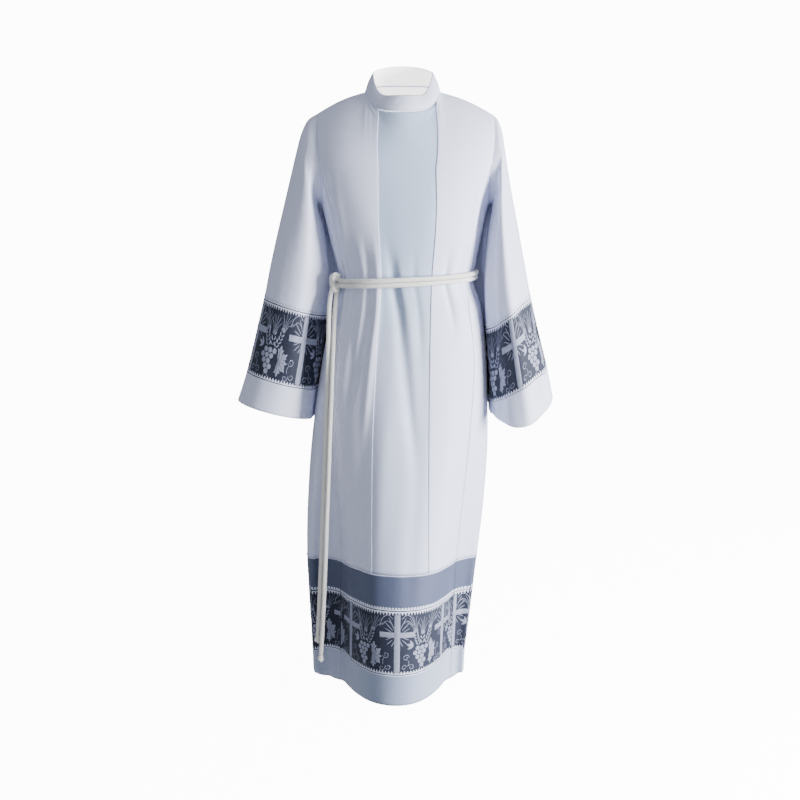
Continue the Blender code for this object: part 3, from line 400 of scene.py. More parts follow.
class HeightTable:
    """Reads a short table at any height, on smooth curves through its rows."""

    def __init__(self, rows: tuple) -> None:
        """Samples each column at every millimetre.

        Args:
            rows: the table's rows, each with its height as z.
        """
        ordered = sorted(rows, key=lambda row: row.z)
        knots = np.array([row.z for row in ordered])
        self.z = np.arange(knots[0], knots[-1] + 0.0005, 0.001)
        self.columns = {}
        index = np.clip(np.searchsorted(knots, self.z) - 1, 0, len(knots) - 2)
        span = knots[index + 1] - knots[index]
        t = (np.minimum(self.z, knots[-1]) - knots[index]) / span
        for name in rows[0]._fields[1:]:
            p = np.array([getattr(row, name) for row in ordered])
            before, after = np.r_[p[0], p[:-1]], np.r_[p[1:], p[-1]]
            below, above = np.r_[knots[0], knots[:-1]], np.r_[knots[1:], knots[-1]]
            slope = (after - before) / (above - below)
            slopes = slope[index] * span, slope[index + 1] * span
            self.columns[name] = hermite(p[index], p[index + 1], *slopes, t)

    def read(self, name: str, z: Array) -> Array:
        """The value of a column at each height."""
        return np.interp(z, self.z, self.columns[name])


# ---- the robe's form


class Form:
    """The surface that the cloth hangs on: rings below the yoke, and curves over the shoulders above it."""

    def __init__(self) -> None:
        """Reads the tables and works out where the seams run."""
        self.sections = HeightTable(SECTIONS)
        self.seams = HeightTable(SEAM_ROWS)
        self.neck_side = {side: self._neck_side(side) for side in (-1, 1)}

    def _middle_half(self, z: Array) -> tuple[Array, Array]:
        """The middle of the section from side to side, and half of its width."""
        right, left = self.sections.read("right", z), self.sections.read("left", z)
        return (right + left) / 2, (left - right) / 2

    def _neck_side(self, side: int) -> float:
        """The angle, from the front, of the column that ends at the side of the neck."""
        middle, half = self._middle_half(YOKE_Z)
        x = NECK_X + side * NECK_HALF_WIDTH
        square = self.sections.read("square", YOKE_Z)
        return float(np.degrees(np.arcsin(abs((x - middle) / half) ** (square / 2))))

    def neck_side_angle(self, side: int, back: bool) -> float:
        """The signed angle of that column on the front or on the back."""
        angle = self.neck_side[side]
        return 180.0 - side * angle if back else side * angle

    def seam(self, name: str, z: Array) -> Array:
        """The angle at which a long seam lies.

        Args:
            name: a column of the seam table.
            z: heights.

        Returns:
            The angle at each height, in degrees.
        """
        z = np.minimum(z, YOKE_Z)
        middle, half = self._middle_half(z)
        x = self.seams.read(name, z)
        share = np.minimum(np.abs((x - middle) / half), 0.999)
        angle = np.degrees(np.arcsin(share ** (self.sections.read("square", z) / 2))) * np.sign(x - middle)
        return 180.0 - angle if name.startswith("back") else angle

    def _lift(self, folds: tuple, angle: Array, z: Array) -> tuple[Array, Array]:
        """How far folds stand out sideways, and how far forwards or back."""
        sideways, forwards = np.zeros_like(angle + z), np.zeros_like(angle + z)
        for fold in folds:
            turn = wrapped(angle - fold.angle - fold.drift * (fold.top - z))
            reach = smooth((fold.top - z) / fold.grow) * smooth((z - fold.foot) / fold.grow)
            lift = fold.depth * np.exp(-((turn / fold.spread) ** 2)) * reach
            sideways += lift * fold.sideways
            forwards += lift
        return sideways, forwards

    def ring(self, angle: Array, z: Array, folded: float = 1.0) -> Array:
        """Points of the body below the yoke, halfway through its wall.

        Args:
            angle: degrees round the body.
            z: heights.
            folded: 0 leaves the folds out.

        Returns:
            The points, along a new last axis.
        """
        angle, z = paired(angle, z)
        sine, cosine = sine_cosine(angle)
        exponent = 2.0 / self.sections.read("square", z)
        middle, half = self._middle_half(z)
        depth = np.where(cosine > 0, self.sections.read("front", z), self.sections.read("back", z))
        sideways, forwards = self._lift(FOLDS, angle, z)
        x = middle + half * signed_power(sine, exponent) + sideways * folded * sine
        y = -depth * signed_power(cosine, exponent) - forwards * folded * cosine
        return np.stack((x, y, z), axis=-1)

    def neck_point(self, turn: Array) -> Array:
        """Points of the neckline; turn is 0 at the front, 90 at the wearer's left and 180 at the back."""
        sine, cosine = sine_cosine(turn)
        depth = np.where(cosine > 0, NECK_FRONT, NECK_BACK)
        end_z = np.where(cosine > 0, NECK_FRONT_Z, NECK_BACK_Z)
        z = NECK_SIDE_Z + (end_z - NECK_SIDE_Z) * smooth(np.abs(cosine))
        return np.stack((NECK_X + NECK_HALF_WIDTH * sine, -depth * cosine, z), axis=-1)

    def _yoke_top(self, angle: Array) -> tuple[Array, Array]:
        """Where each column of the yoke ends, on the neckline or the shoulder seam, and its handle there."""
        back = np.abs(wrapped(angle)) > 90.0
        off = wrapped(np.where(back, 180.0 - angle, angle))
        side = np.where(off >= 0, 1.0, -1.0)
        inner = np.where(side > 0, self.neck_side[1], self.neck_side[-1])
        edge = np.zeros_like(off)
        for way, hand in HANDS.items():
            front_edge = abs(float(self.seam(f"{hand}_seam", YOKE_Z)))
            back_edge = abs(180.0 - float(self.seam(f"back_{hand}", YOKE_Z)))
            edge = np.where(side == way, np.where(back, back_edge, front_edge), edge)
        away = np.where(back, 1.0, -1.0)
        turn = 90.0 * np.clip(np.abs(off) / inner, 0.0, 1.0) ** np.where(back, 1.0, NECK_CROWD)
        steep = 1.0 - smooth(turn / 90.0)
        at_neck = self.neck_point(np.where(back, 180.0 - side * turn, side * turn))
        drop = -np.where(back, NECK_FALL[1], NECK_FALL[0]) * steep
        fall = np.stack((np.zeros_like(off), away, drop), axis=-1)
        fall = unit(fall) * (SHOULDER_ROUND + NECK_ROUND * steep)[..., None]
        share = (np.abs(off) - inner) / (edge - inner)
        start = self.neck_point(90.0 * side)
        tip = np.where((side > 0)[..., None], np.array(TIP_LEFT), np.array(TIP_RIGHT))
        along = start + (tip - start) * share[..., None]
        along[..., 2] += SHOULDER_BOW * np.sin(np.pi * np.clip(share, 0.0, 1.0))
        level = np.stack((np.zeros_like(off), away * SHOULDER_ROUND, np.zeros_like(off)), axis=-1)
        on_neck = (np.abs(off) <= inner)[..., None]
        return np.where(on_neck, at_neck, along), np.where(on_neck, fall, level)

    def _hung(self, angle: Array, h: Array) -> Array:
        """Heights, raised towards the hem at the sides and the back."""
        near_left = smooth((np.sin(np.radians(angle)) + 1.0) / 2)
        rise = HEM_RISE[0] + (HEM_RISE[1] - HEM_RISE[0]) * near_left
        rise = rise * smooth((np.abs(wrapped(angle)) - HEM_RISE_FROM) / HEM_RISE_OVER)
        for middle, spread, lift in HEM_WAVES:
            rise = rise + lift * np.exp(-((wrapped(angle - middle) / spread) ** 2))
        return h + rise * np.maximum(LACE_FOOT_Z - h, 0.0) / (LACE_FOOT_Z - HEM_Z)

    def _yoke(self, angle: Array, h: Array) -> Array:
        """Points over the shoulders, on curves from the yoke's foot to the top edge."""
        base = self.ring(angle, np.full(h.shape, YOKE_Z))
        rise = unit(base - self.ring(angle, np.full(h.shape, YOKE_Z - YOKE_BELOW)))
        top, fall = self._yoke_top(angle)
        long = np.linalg.norm(top - base, axis=-1, keepdims=True)
        t = np.clip(1.0 - h / YOKE_Z, 0.0, 1.0)[..., None]
        b1, b2 = base + rise * CHEST_ROUND * long, top + fall * long
        return base * (1 - t) ** 3 + b1 * 3 * t * (1 - t) ** 2 + b2 * 3 * t * t * (1 - t) + top * t**3

    def body(self, angle: Array, h: Array) -> Array:
        """Points of the body. Below the yoke h is the height; above, it runs to 0 at the top edge."""
        angle, h = paired(angle, h)
        h = self._hung(angle, h)
        low = self.ring(angle, np.minimum(h, YOKE_Z))
        over = h > YOKE_Z
        if not np.any(over):
            return low
        angle, h = angle[over], h[over]
        spread = YOKE_REACH * smooth(-h / YOKE_FADE[0]) * smooth((h - YOKE_Z) / YOKE_FADE[1])
        low[over] = sum(weight * self._yoke(angle + turn * spread, h) for turn, weight in YOKE_SPREAD)
        return low

    def _normal(self, angle: Array, h: Array) -> Array:
        """Outward normals, from the neighbours on each side."""
        turn, down = NORMAL_STEP
        along = self.body(angle + turn, h) - self.body(angle - turn, h)
        across = self.body(angle, h + down) - self.body(angle, h - down)
        return unit(np.cross(along, across))

    def normal(self, angle: Array, h: Array) -> Array:
        """Outward normals, evened out where the yoke begins."""
        reach, off = YOKE_EASE
        angle, h = paired(angle, np.minimum(h, EDGE_Z))
        near = np.abs(h - YOKE_Z) < reach
        if not np.any(near):
            return self._normal(angle, h)
        upper = self._normal(angle, np.where(near, YOKE_Z + off, h))
        lower = self._normal(angle, np.where(near, YOKE_Z - off, h))
        return unit(upper + lower)

    def crease(self, angle: Array, h: Array) -> Array:
        """How far the finer creases lift the cloth."""
        return self._lift(CREASES, angle, h)[1]

    def laid(self, angle: Array, h: Array, lift: Array | float = 0.0, step: Array | float = 0.0) -> Array:
        """Points of the cloth with its creases, moved along it by step and off it by lift.

        Args:
            angle: degrees round the body.
            h: heights, as in body.
            lift: how far off the middle of the cloth.
            step: how far aside, along the cloth.

        Returns:
            The points, along a new last axis.
        """
        scale = np.linalg.norm(self.body(angle + 0.5, h) - self.body(angle - 0.5, h), axis=-1)
        turned = angle + step / np.maximum(scale, 1e-6)
        off = np.asarray(lift + self.crease(turned, h))[..., None]
        return self.body(turned, h) + self.normal(turned, h) * off

    # -- armholes and side panels

    def gore_top(self, share: Array) -> Array:
        """The height of a side panel's upper edge; share is -1 at the front seam and 1 at the back."""
        return UNDERARM_Z + (YOKE_Z - UNDERARM_Z) * np.abs(share) ** GORE_DIP

    def gore_angle(self, side: int, share: Array, z: Array) -> Array:
        """The angle of a column of a side panel."""
        hand = HANDS[side]
        front, back = self.seam(f"{hand}_seam", z), self.seam(f"back_{hand}", z)
        back = back - 360.0 if side < 0 else back
        return front + (back - front) * (share + 1) / 2

    @lru_cache(maxsize=None)
    def armhole(self, side: int, turn: float) -> tuple:
        """A point of the armhole and the body's normal there.

        Args:
            side: 1 on the wearer's left, -1 on the right.
            turn: 0 at the shoulder and 90 at the front.

        Returns:
            The point and the normal.
        """
        turn %= 360.0
        if FRONT_ARC <= turn <= 360.0 - FRONT_ARC:
            share = (turn - 180.0) / (180.0 - FRONT_ARC)
            z = float(self.gore_top(share))
            angle = float(self.gore_angle(side, share, z))
            normal = self.normal(angle, z)
            near = np.clip([share - 0.02, share + 0.02], -1.0, 1.0)
            ends = self.ring(self.gore_angle(side, near, self.gore_top(near)), self.gore_top(near))
            away = unit(np.cross(normal, ends[1] - ends[0])) * side
            return self.ring(angle, z) + away * SEAM_GAP, normal
        back = turn > 180.0
        down = (360.0 - turn if back else turn) / FRONT_ARC
        angle = float(self.seam(f"back_{HANDS[side]}" if back else f"{HANDS[side]}_seam", YOKE_Z))
        h = YOKE_Z * down
        point = self.body(angle, h)
        away = unit(self.body(angle + 0.5 * side * (-1 if back else 1), h) - point)
        return point + away * SEAM_GAP, self.normal(angle, h)

    def _reach(self, side: int, y: Array, z: Array) -> Array:
        """How far the body and the cord round it stand out to one side at a depth and a height."""
        middle, half = self._middle_half(z)
        square = self.sections.read("square", z)
        depth = np.where(y < 0, self.sections.read("front", z), self.sections.read("back", z))
        share = np.minimum(np.abs(y) / depth, 1.0)
        cord = (WALL / 2 + ROPE + BELT_EASE) * smooth(2.2 - np.abs(z - BELT_Z) / BELT_REACH)
        return side * middle + half * (1.0 - share**square) ** (1.0 / square) + cord

    def sleeve_ring(self, side: int, row: SleeveRow, turns: Array) -> Array:
        """One ring of a sleeve, as a loop of points."""
        outer = np.array((side * row.outer_x, row.mid_y, row.outer_z))
        inner = np.array((side * row.inner_x, row.mid_y, row.inner_z))
        middle, reach = (outer + inner) / 2, (outer - inner) / 2
        s, c = (values[:, None] for values in sine_cosine(turns))
        off = np.hstack((0.0 * s, -row.half_depth * s, -row.drop * np.maximum(s, 0.0) ** 2))
        points = middle + reach * c + off
        if row.tuck > 0.0:
            swing = row.tuck * np.maximum(2 * s * c, 0.0) ** 0.6 * (s < 0.0)
            clear = self._reach(side, points[:, 1:2], points[:, 2:3]) + SLEEVE_CLEAR
            moved = side * np.maximum(side * points[:, :1] - swing, clear)
            points[:, :1] = np.where(c < 0.0, moved, points[:, :1])
        if row.loop > 0.0:
            loop = np.array([self.armhole(side, float(turn))[0] for turn in turns])
            slide = (outer - self.armhole(side, 0.0)[0]) * (1 + c) / 2
            slide = slide + (inner - self.armhole(side, 180.0)[0]) * (1 - c) / 2
            points = points * (1 - row.loop) + (loop + slide) * row.loop
        return points


@dataclass
class SleeveForm:
    """The surface of one sleeve, read at any turn and any ring."""

    form: Form
    side: int
    columns: int = 72
    per_ring: int = 7

    def __post_init__(self) -> None:
        """Works out the rings and their normals."""
        table = RIGHT_SLEEVE if self.side < 0 else LEFT_SLEEVE
        self.turns = np.linspace(0.0, 360.0, self.columns, endpoint=False)
        rings = [self.form.sleeve_ring(self.side, row, self.turns) for row in table]
        rings[0] = np.array([self.form.armhole(self.side, float(turn))[0] for turn in self.turns])
        knots = np.array(rings)
        before = np.concatenate((knots[:1] * 2 - knots[1:2], knots[:-1]))
        after = np.concatenate((knots[1:], knots[-1:] * 2 - knots[-2:-1]))
        slopes = (after - before) / 2
        slopes[0] = knots[1] - knots[0]
        self.marks = np.linspace(0.0, HEM_ROW, HEM_ROW * self.per_ring + 1)
        rows = []
        for mark in self.marks:
            i = min(int(mark), HEM_ROW - 1)
            rows.append(hermite(knots[i], knots[i + 1], slopes[i], slopes[i + 1], mark - i))
        grid = np.array(rows)
        along = np.gradient(grid, axis=0)
        across = np.roll(grid, -1, axis=1) - np.roll(grid, 1, axis=1)
        normals = unit(np.cross(along, across) * -self.side)
        normals[0] = [self.form.armhole(self.side, float(turn))[1] for turn in self.turns]
        self.grid, self.normals = grid, normals

    def _read(self, field_: Array, turn: Array, mark: Array) -> Array:
        """Reads the rings between their columns and rows."""
        column = (np.asarray(turn) % 360.0) / 360.0 * self.columns
        row = np.clip(np.asarray(mark), 0.0, HEM_ROW) * self.per_ring
        j = np.floor(column).astype(int) % self.columns
        i = np.clip(np.floor(row).astype(int), 0, len(self.marks) - 2)
        u, v = (column - np.floor(column))[..., None], (row - i)[..., None]
        k = (j + 1) % self.columns
        upper = field_[i, j] * (1 - u) + field_[i, k] * u
        lower = field_[i + 1, j] * (1 - u) + field_[i + 1, k] * u
        return upper * (1 - v) + lower * v

    def crease(self, turn: Array, mark: Array) -> Array:
        """How far the creases lift the sleeve's cloth."""
        lift = np.zeros_like(turn + mark)
        for fold in RIGHT_CREASES if self.side < 0 else LEFT_CREASES:
            off = wrapped(turn - fold.turn - fold.drift * (mark - fold.start))
            reach = smooth((mark - fold.start) / CREASE_FADE[0]) * smooth((fold.end - mark) / CREASE_FADE[1])
            lift += fold.depth * np.exp(-((off / fold.spread) ** 2)) * reach
        return lift

    def laid(self, turn: Array, mark: Array, lift: Array | float = 0.0) -> Array:
        """Points of the sleeve's cloth, lifted off its middle."""
        turn, mark = paired(turn, mark)
        off = np.asarray(lift + self.crease(turn, mark))[..., None]
        return self._read(self.grid, turn, mark) + unit(self._read(self.normals, turn, mark)) * off

    def outward(self, turn: Array, mark: Array) -> Array:
        """Outward normals of the sleeve."""
        return unit(self._read(self.normals, np.asarray(turn, dtype=float), np.asarray(mark, dtype=float)))


# ---- shared mesh work


def mesh_of(bm: bmesh.types.BMesh, name: str) -> bpy.types.Mesh:
    """Turns a bmesh into new mesh data, and frees it."""
    mesh = bpy.data.meshes.new(name)
    bm.to_mesh(mesh)
    bm.free()
    return mesh


def merge_points(mesh: bpy.types.Mesh, distance: float) -> None:
    """Makes one of each set of points that lie together."""
    bm = bmesh.new()
    bm.from_mesh(mesh)
    bmesh.ops.remove_doubles(bm, verts=bm.verts, dist=distance)
    bm.to_mesh(mesh)
    bm.free()


def pulled(items: bpy.types.bpy_prop_collection, name: str, width: int = 3) -> Array:
    """Reads a property of all points or corners of a mesh."""
    values = np.empty(len(items) * width, dtype=float if width > 1 else int)
    items.foreach_get(name, values)
    return values.reshape(-1, width) if width > 1 else values


def lay_flat(mesh: bpy.types.Mesh, flat: Array) -> None:
    """Stores each point's place on the flat cloth, for the materials to read."""
    corners = pulled(mesh.loops, "vertex_index", 1)
    mesh.uv_layers.new(name="cloth").data.foreach_set("uv", flat[corners].ravel())


def grid_object(
    name: str, points: Array, outward: Array, flat: Array, closed: bool = False
) -> bpy.types.Object:
    """Lays a grid of mesh on rows of points.

    Args:
        name: the piece's name.
        points: rows x columns x 3.
        outward: a normal for each point, which says which way the faces look.
        flat: rows x columns x 2, the place of each point on the flat cloth in metres.
        closed: True where the last column meets the first.

    Returns:
        The new object, shaded smooth.
    """
    if closed:
        end = flat[:, -1:] + (flat[:, 1:2] - flat[:, :1])
        points, outward = (np.concatenate((a, a[:, :1]), axis=1) for a in (points, outward))
        flat = np.concatenate((flat, end), axis=1)
    rows, columns = points.shape[:2]
    bm = bmesh.new()
    bmesh.ops.create_grid(bm, x_segments=columns - 1, y_segments=rows - 1, size=0.5)
    mesh = mesh_of(bm, name)
    rough = pulled(mesh.vertices, "co")
    column = np.rint((rough[:, 0] + 0.5) * (columns - 1)).astype(int)
    row = np.rint((rough[:, 1] + 0.5) * (rows - 1)).astype(int)
    mesh.vertices.foreach_set("co", points[row, column].ravel())
    lay_flat(mesh, flat[row, column])
    mesh.update()
    if np.sum(pulled(mesh.vertices, "normal") * outward[row, column]) < 0:
        mesh.flip_normals()
    if closed:
        merge_points(mesh, 0.000001)
    mesh.shade_smooth()
    return linked(name, mesh)


def linked(name: str, data: bpy.types.ID) -> bpy.types.Object:
    """Puts mesh or curve data in the scene as an object at the origin."""
    item = bpy.data.objects.new(name, data)
    bpy.context.collection.objects.link(item)
    return item


def thicken(item: bpy.types.Object, thickness: float, inner_slot: int = 0) -> None:
    """Gives a shell its thickness, evenly to both sides."""
    wall = item.modifiers.new("thickness", "SOLIDIFY")
    wall.thickness = thickness
    wall.offset = 0.0
    wall.use_rim = True
    wall.material_offset = inner_slot


def mark_points(item: bpy.types.Object, name: str, values: Array) -> None:
    """Stores a number on each point of a mesh for its material to read."""
    layer = item.data.attributes.new(name, "FLOAT", "POINT")
    layer.data.foreach_set("value", values)


def settle(item: bpy.types.Object, *nodes: str, slot: Finish, materials: tuple) -> None:
    """Gives a piece its materials and its body, and hides the solids that it stands for."""
    for material in materials:
        item.data.materials.append(material)
    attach(item, "root")
    if nodes:
        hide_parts(*nodes)


def lengths(points: Array) -> Array:
    """The distance along each row of points, from its first."""
    steps = np.linalg.norm(np.diff(points, axis=-2), axis=-1)
    start = np.zeros(steps.shape[:-1] + (1,))
    return np.concatenate((start, np.cumsum(steps, axis=-1)), axis=-1)


def smooth_route(points: Array | tuple, count: int) -> Array:
    """Even points on a smooth curve through a route's own points."""
    p = np.array(points)
    p = np.vstack((2 * p[0] - p[1], p, 2 * p[-1] - p[-2]))
    fine, shares = [], np.linspace(0.0, 1.0, 12, endpoint=False)
    for i in range(1, len(p) - 2):
        slopes = (p[i + 1] - p[i - 1]) / 2, (p[i + 2] - p[i]) / 2
        fine += [hermite(p[i], p[i + 1], *slopes, float(t)) for t in shares]
    fine = np.array([*fine, p[-2]])
    along = lengths(fine)
    at = np.linspace(0.0, along[-1], count)
    return np.stack([np.interp(at, along, fine[:, k]) for k in range(3)], axis=-1)


# ---- materials


@dataclass(frozen=True)
class ClothFinish:
    """A woven or knitted finish that follows the flat cloth."""

    name: str
    colour: tuple
    shade: tuple  # painted shade: the colour in the hollows of its weave and yarns, and where the cloth lies one layer over the shaded inside; for a net, its ground
    roughness: float = 0.62
    sheen: float = 0.15
    sheen_tint: tuple = (0.92, 0.94, 1.0)
    thread: float = 0.0007  # the pitch of the threads, in metres
    relief: float = 0.00006  # how deep the weave is, in metres
    slub: float = 0.22  # how much the colour varies from thread to thread; in a yarn, how dark the painted shade between its yarns is
    cloud: float = 0.05  # how much it varies over a hand's breadth
    crumple: float = 0.0006  # the height of the soft unevenness of the cloth
    glow: float = 0.0  # painted light: how strongly it glows in its own colour


WHITE_CLOTH = ClothFinish("white alb cloth", (0.69, 0.715, 0.91), (0.39, 0.48, 0.645), sheen=0.18)
# Painted light: the inside of the collar and of the back is paler than the white cloth and glows, to stand in
# for light on it
INNER_CLOTH = ClothFinish(
    "cream collar facing", (0.97, 0.955, 0.92), (0.90, 0.88, 0.84), roughness=0.68, sheen=0.1,
    sheen_tint=(1.0, 0.98, 0.94), slub=0.2, glow=1.7,
)
# Darker than the white cloth; at the front of the hem it turns to its shade colour, as painted shade
HEM_CLOTH = ClothFinish("shaded hem cloth", (0.44, 0.485, 0.64), (0.235, 0.285, 0.42))
# Painted shade: its threads and its ground are both dark, for the shaded inside of the robe seen through the
# sheer band
SHEER_NET = ClothFinish(
    "plain sheer band", (0.102, 0.120, 0.200), (0.065, 0.080, 0.145), roughness=0.55,
    sheen_tint=(0.85, 0.90, 1.0), thread=0.0011, relief=0.00005, slub=0.55, crumple=0.0004,
)
LACE_NET = ClothFinish(
    "dark lace ground", (0.031, 0.038, 0.068), (0.008, 0.011, 0.026), roughness=0.7, sheen=0.06,
    sheen_tint=(0.8, 0.85, 1.0), thread=0.0020, relief=0.00010, slub=0.55, crumple=0.0004,
)
EMBROIDERY = ClothFinish(
    "pale lace thread", (0.31, 0.33, 0.45), (0.20, 0.22, 0.32), roughness=0.55, sheen=0.2,
    thread=0.0008, relief=0.00012, slub=0.6, cloud=0.1,
)
SEAM_CLOTH = ClothFinish(
    "pale seam binding", (0.71, 0.745, 0.94), (0.62, 0.65, 0.80), roughness=0.6, sheen=0.2,
    sheen_tint=(0.95, 0.96, 1.0), thread=0.0006, relief=0.00005, slub=0.3,
)
CORD_YARN = ClothFinish(
    "cream braided cord", (1.0, 0.985, 0.95), (0.76, 0.74, 0.69), roughness=0.8, sheen=0.25,
    sheen_tint=(1.0, 0.97, 0.90), thread=0.0010, relief=0.00030, slub=0.3, cloud=0.06,
)
LACE_THREAD, SHEER_THREAD = 0.30, 0.35  # how wide the threads of each net are, as a share of its holes


class Tree:
    """A shader's node tree, with short ways to add nodes and join them."""

    def __init__(self, tree: bpy.types.NodeTree) -> None:
        """Keeps the tree."""
        self.tree = tree

    def fill(self, node: bpy.types.Node, inputs: dict) -> None:
        """Links sockets to a node's inputs, and sets numbers and colours on them."""
        for key, value in inputs.items():
            socket = node.inputs[key]
            if isinstance(value, bpy.types.NodeSocket):
                self.tree.links.new(value, socket)
            else:
                socket.default_value = (*value, 1.0) if socket.type == "RGBA" else value

    def add(self, kind: str, inputs: dict, **settings: object) -> bpy.types.Node:
        """Adds a node.

        Args:
            kind: its type, after the word that every shader node's type begins with.
            inputs: a socket, number or colour for each of its inputs, by name or by number.
            settings: its own properties.

        Returns:
            The new node.
        """
        node = self.tree.nodes.new(f"ShaderNode{kind}")
        for name, value in settings.items():
            setattr(node, name, value)
        self.fill(node, inputs)
        return node

    def math(self, kind: str, a: object, b: object = 0.0, c: object = 0.0) -> bpy.types.NodeSocket:
        """The result of a math node on sockets or numbers."""
        return self.add("Math", {0: a, 1: b, 2: c}, operation=kind).outputs[0]

    def scaled(self, value: object, factor: float, more: float = 0.0) -> bpy.types.NodeSocket:
        """A value times a factor, and a number more."""
        return self.math("MULTIPLY_ADD", value, factor, more)

    def mix(self, factor: object, a: object, b: object) -> bpy.types.NodeSocket:
        """A mix of two colours."""
        return self.add("Mix", {0: factor, 6: a, 7: b}, data_type="RGBA").outputs[2]

    def bump(self, height: object, distance: float, below: object = None) -> bpy.types.NodeSocket:
        """A bump of a height in metres, laid over another."""
        inputs = {"Strength": 1.0, "Distance": distance, "Height": height}
        return self.add("Bump", inputs if below is None else {**inputs, "Normal": below}).outputs[0]

    def mark(self, name: str) -> bpy.types.NodeSocket:
        """A number that is stored on the points of the mesh."""
        return self.add("Attribute", {}, attribute_name=name).outputs["Fac"]

    def shared(self, group: bpy.types.NodeTree, **inputs: float) -> bpy.types.bpy_prop_collection:
        """The results of a shared group, with a number for each of its inputs."""
        return self.add("Group", inputs, node_tree=group).outputs

    def flat(self) -> tuple:
        """The place on the flat cloth in metres: along it, down it and both at once."""
        place = self.add("UVMap", {}, uv_map="cloth").outputs[0]
        split = self.add("SeparateXYZ", {0: place})
        return split.outputs[0], split.outputs[1], place


def new_group(name: str, inputs: dict, outputs: tuple) -> tuple:
    """An empty group whose inputs and outputs are numbers.

    Args:
        name: the group's name.
        inputs: a default for each input.
        outputs: the names of its outputs.

    Returns:
        Its tree, its inputs as sockets and its output node.
    """
    group = bpy.data.node_groups.new(name, "ShaderNodeTree")
    for label, value in inputs.items():
        group.interface.new_socket(label, in_out="INPUT", socket_type="NodeSocketFloat").default_value = value
    for label in outputs:
        group.interface.new_socket(label, in_out="OUTPUT", socket_type="NodeSocketFloat")
    return Tree(group), group.nodes.new("NodeGroupInput").outputs, group.nodes.new("NodeGroupOutput")


def weave_group() -> bpy.types.NodeTree:
    """A plain weave: threads that pass over and under each other, and slubs along them."""
    tree, given, result = new_group("plain weave", {"Pitch": 0.0006}, ("Height", "Slub", "Cloud", "Crumple"))
    u, v, place = tree.flat()
    turn = tree.math("DIVIDE", math.pi, given[0])
    a = tree.math("SINE", tree.math("MULTIPLY", u, turn))
    b = tree.math("SINE", tree.math("MULTIPLY", v, turn))
    found = {"Height": tree.math("ABSOLUTE", tree.math("MULTIPLY", a, b))}
    for label, across, down in (("Slub", 60.0, 900.0), ("Cloud", 9.0, 6.0), ("Crumple", 26.0, 17.0)):
        at = tree.add("Mapping", {"Vector": place, "Scale": (across, down, 1.0)}).outputs[0]
        found[label] = tree.add("TexNoise", {"Vector": at, "Scale": 1.0, "Detail": 3.0}).outputs[0]
    tree.fill(result, found)
    return tree.tree


def net_group() -> bpy.types.NodeTree:
    """A fine net: the threads between small even holes, as a mask."""
    tree, given, result = new_group("fine net", {"Pitch": 0.0018, "Thread": 0.3}, ("Thread mask",))
    scale = tree.math("DIVIDE", 1.0, given[0])
    cells = {"Vector": tree.flat()[2], "Scale": scale, "Randomness": 0.35}
    edge = tree.add("TexVoronoi", cells, feature="DISTANCE_TO_EDGE").outputs["Distance"]
    near = tree.math("MINIMUM", tree.math("DIVIDE", edge, given[1]), 1.0)
    tree.fill(result, {0: tree.math("SUBTRACT", 1.0, near)})
    return tree.tree


def braid_group() -> bpy.types.NodeTree:
    """The yarns of a braided cord, which lie aslant in each stitch."""
    tree, given, result = new_group("braid yarns", {"Pitch": 0.0010}, ("Yarn", "Dust"))
    u, v, place = tree.flat()
    slant = tree.math("ADD", tree.math("MULTIPLY", u, 0.8), v)
    yarn = tree.math("SINE", tree.math("MULTIPLY", slant, tree.math("DIVIDE", math.tau, given[0])))
    dust = tree.add("TexNoise", {"Vector": place, "Scale": 300.0}).outputs[0]
    tree.fill(result, {"Yarn": tree.scaled(yarn, 0.5, 0.5), "Dust": dust})
    return tree.tree


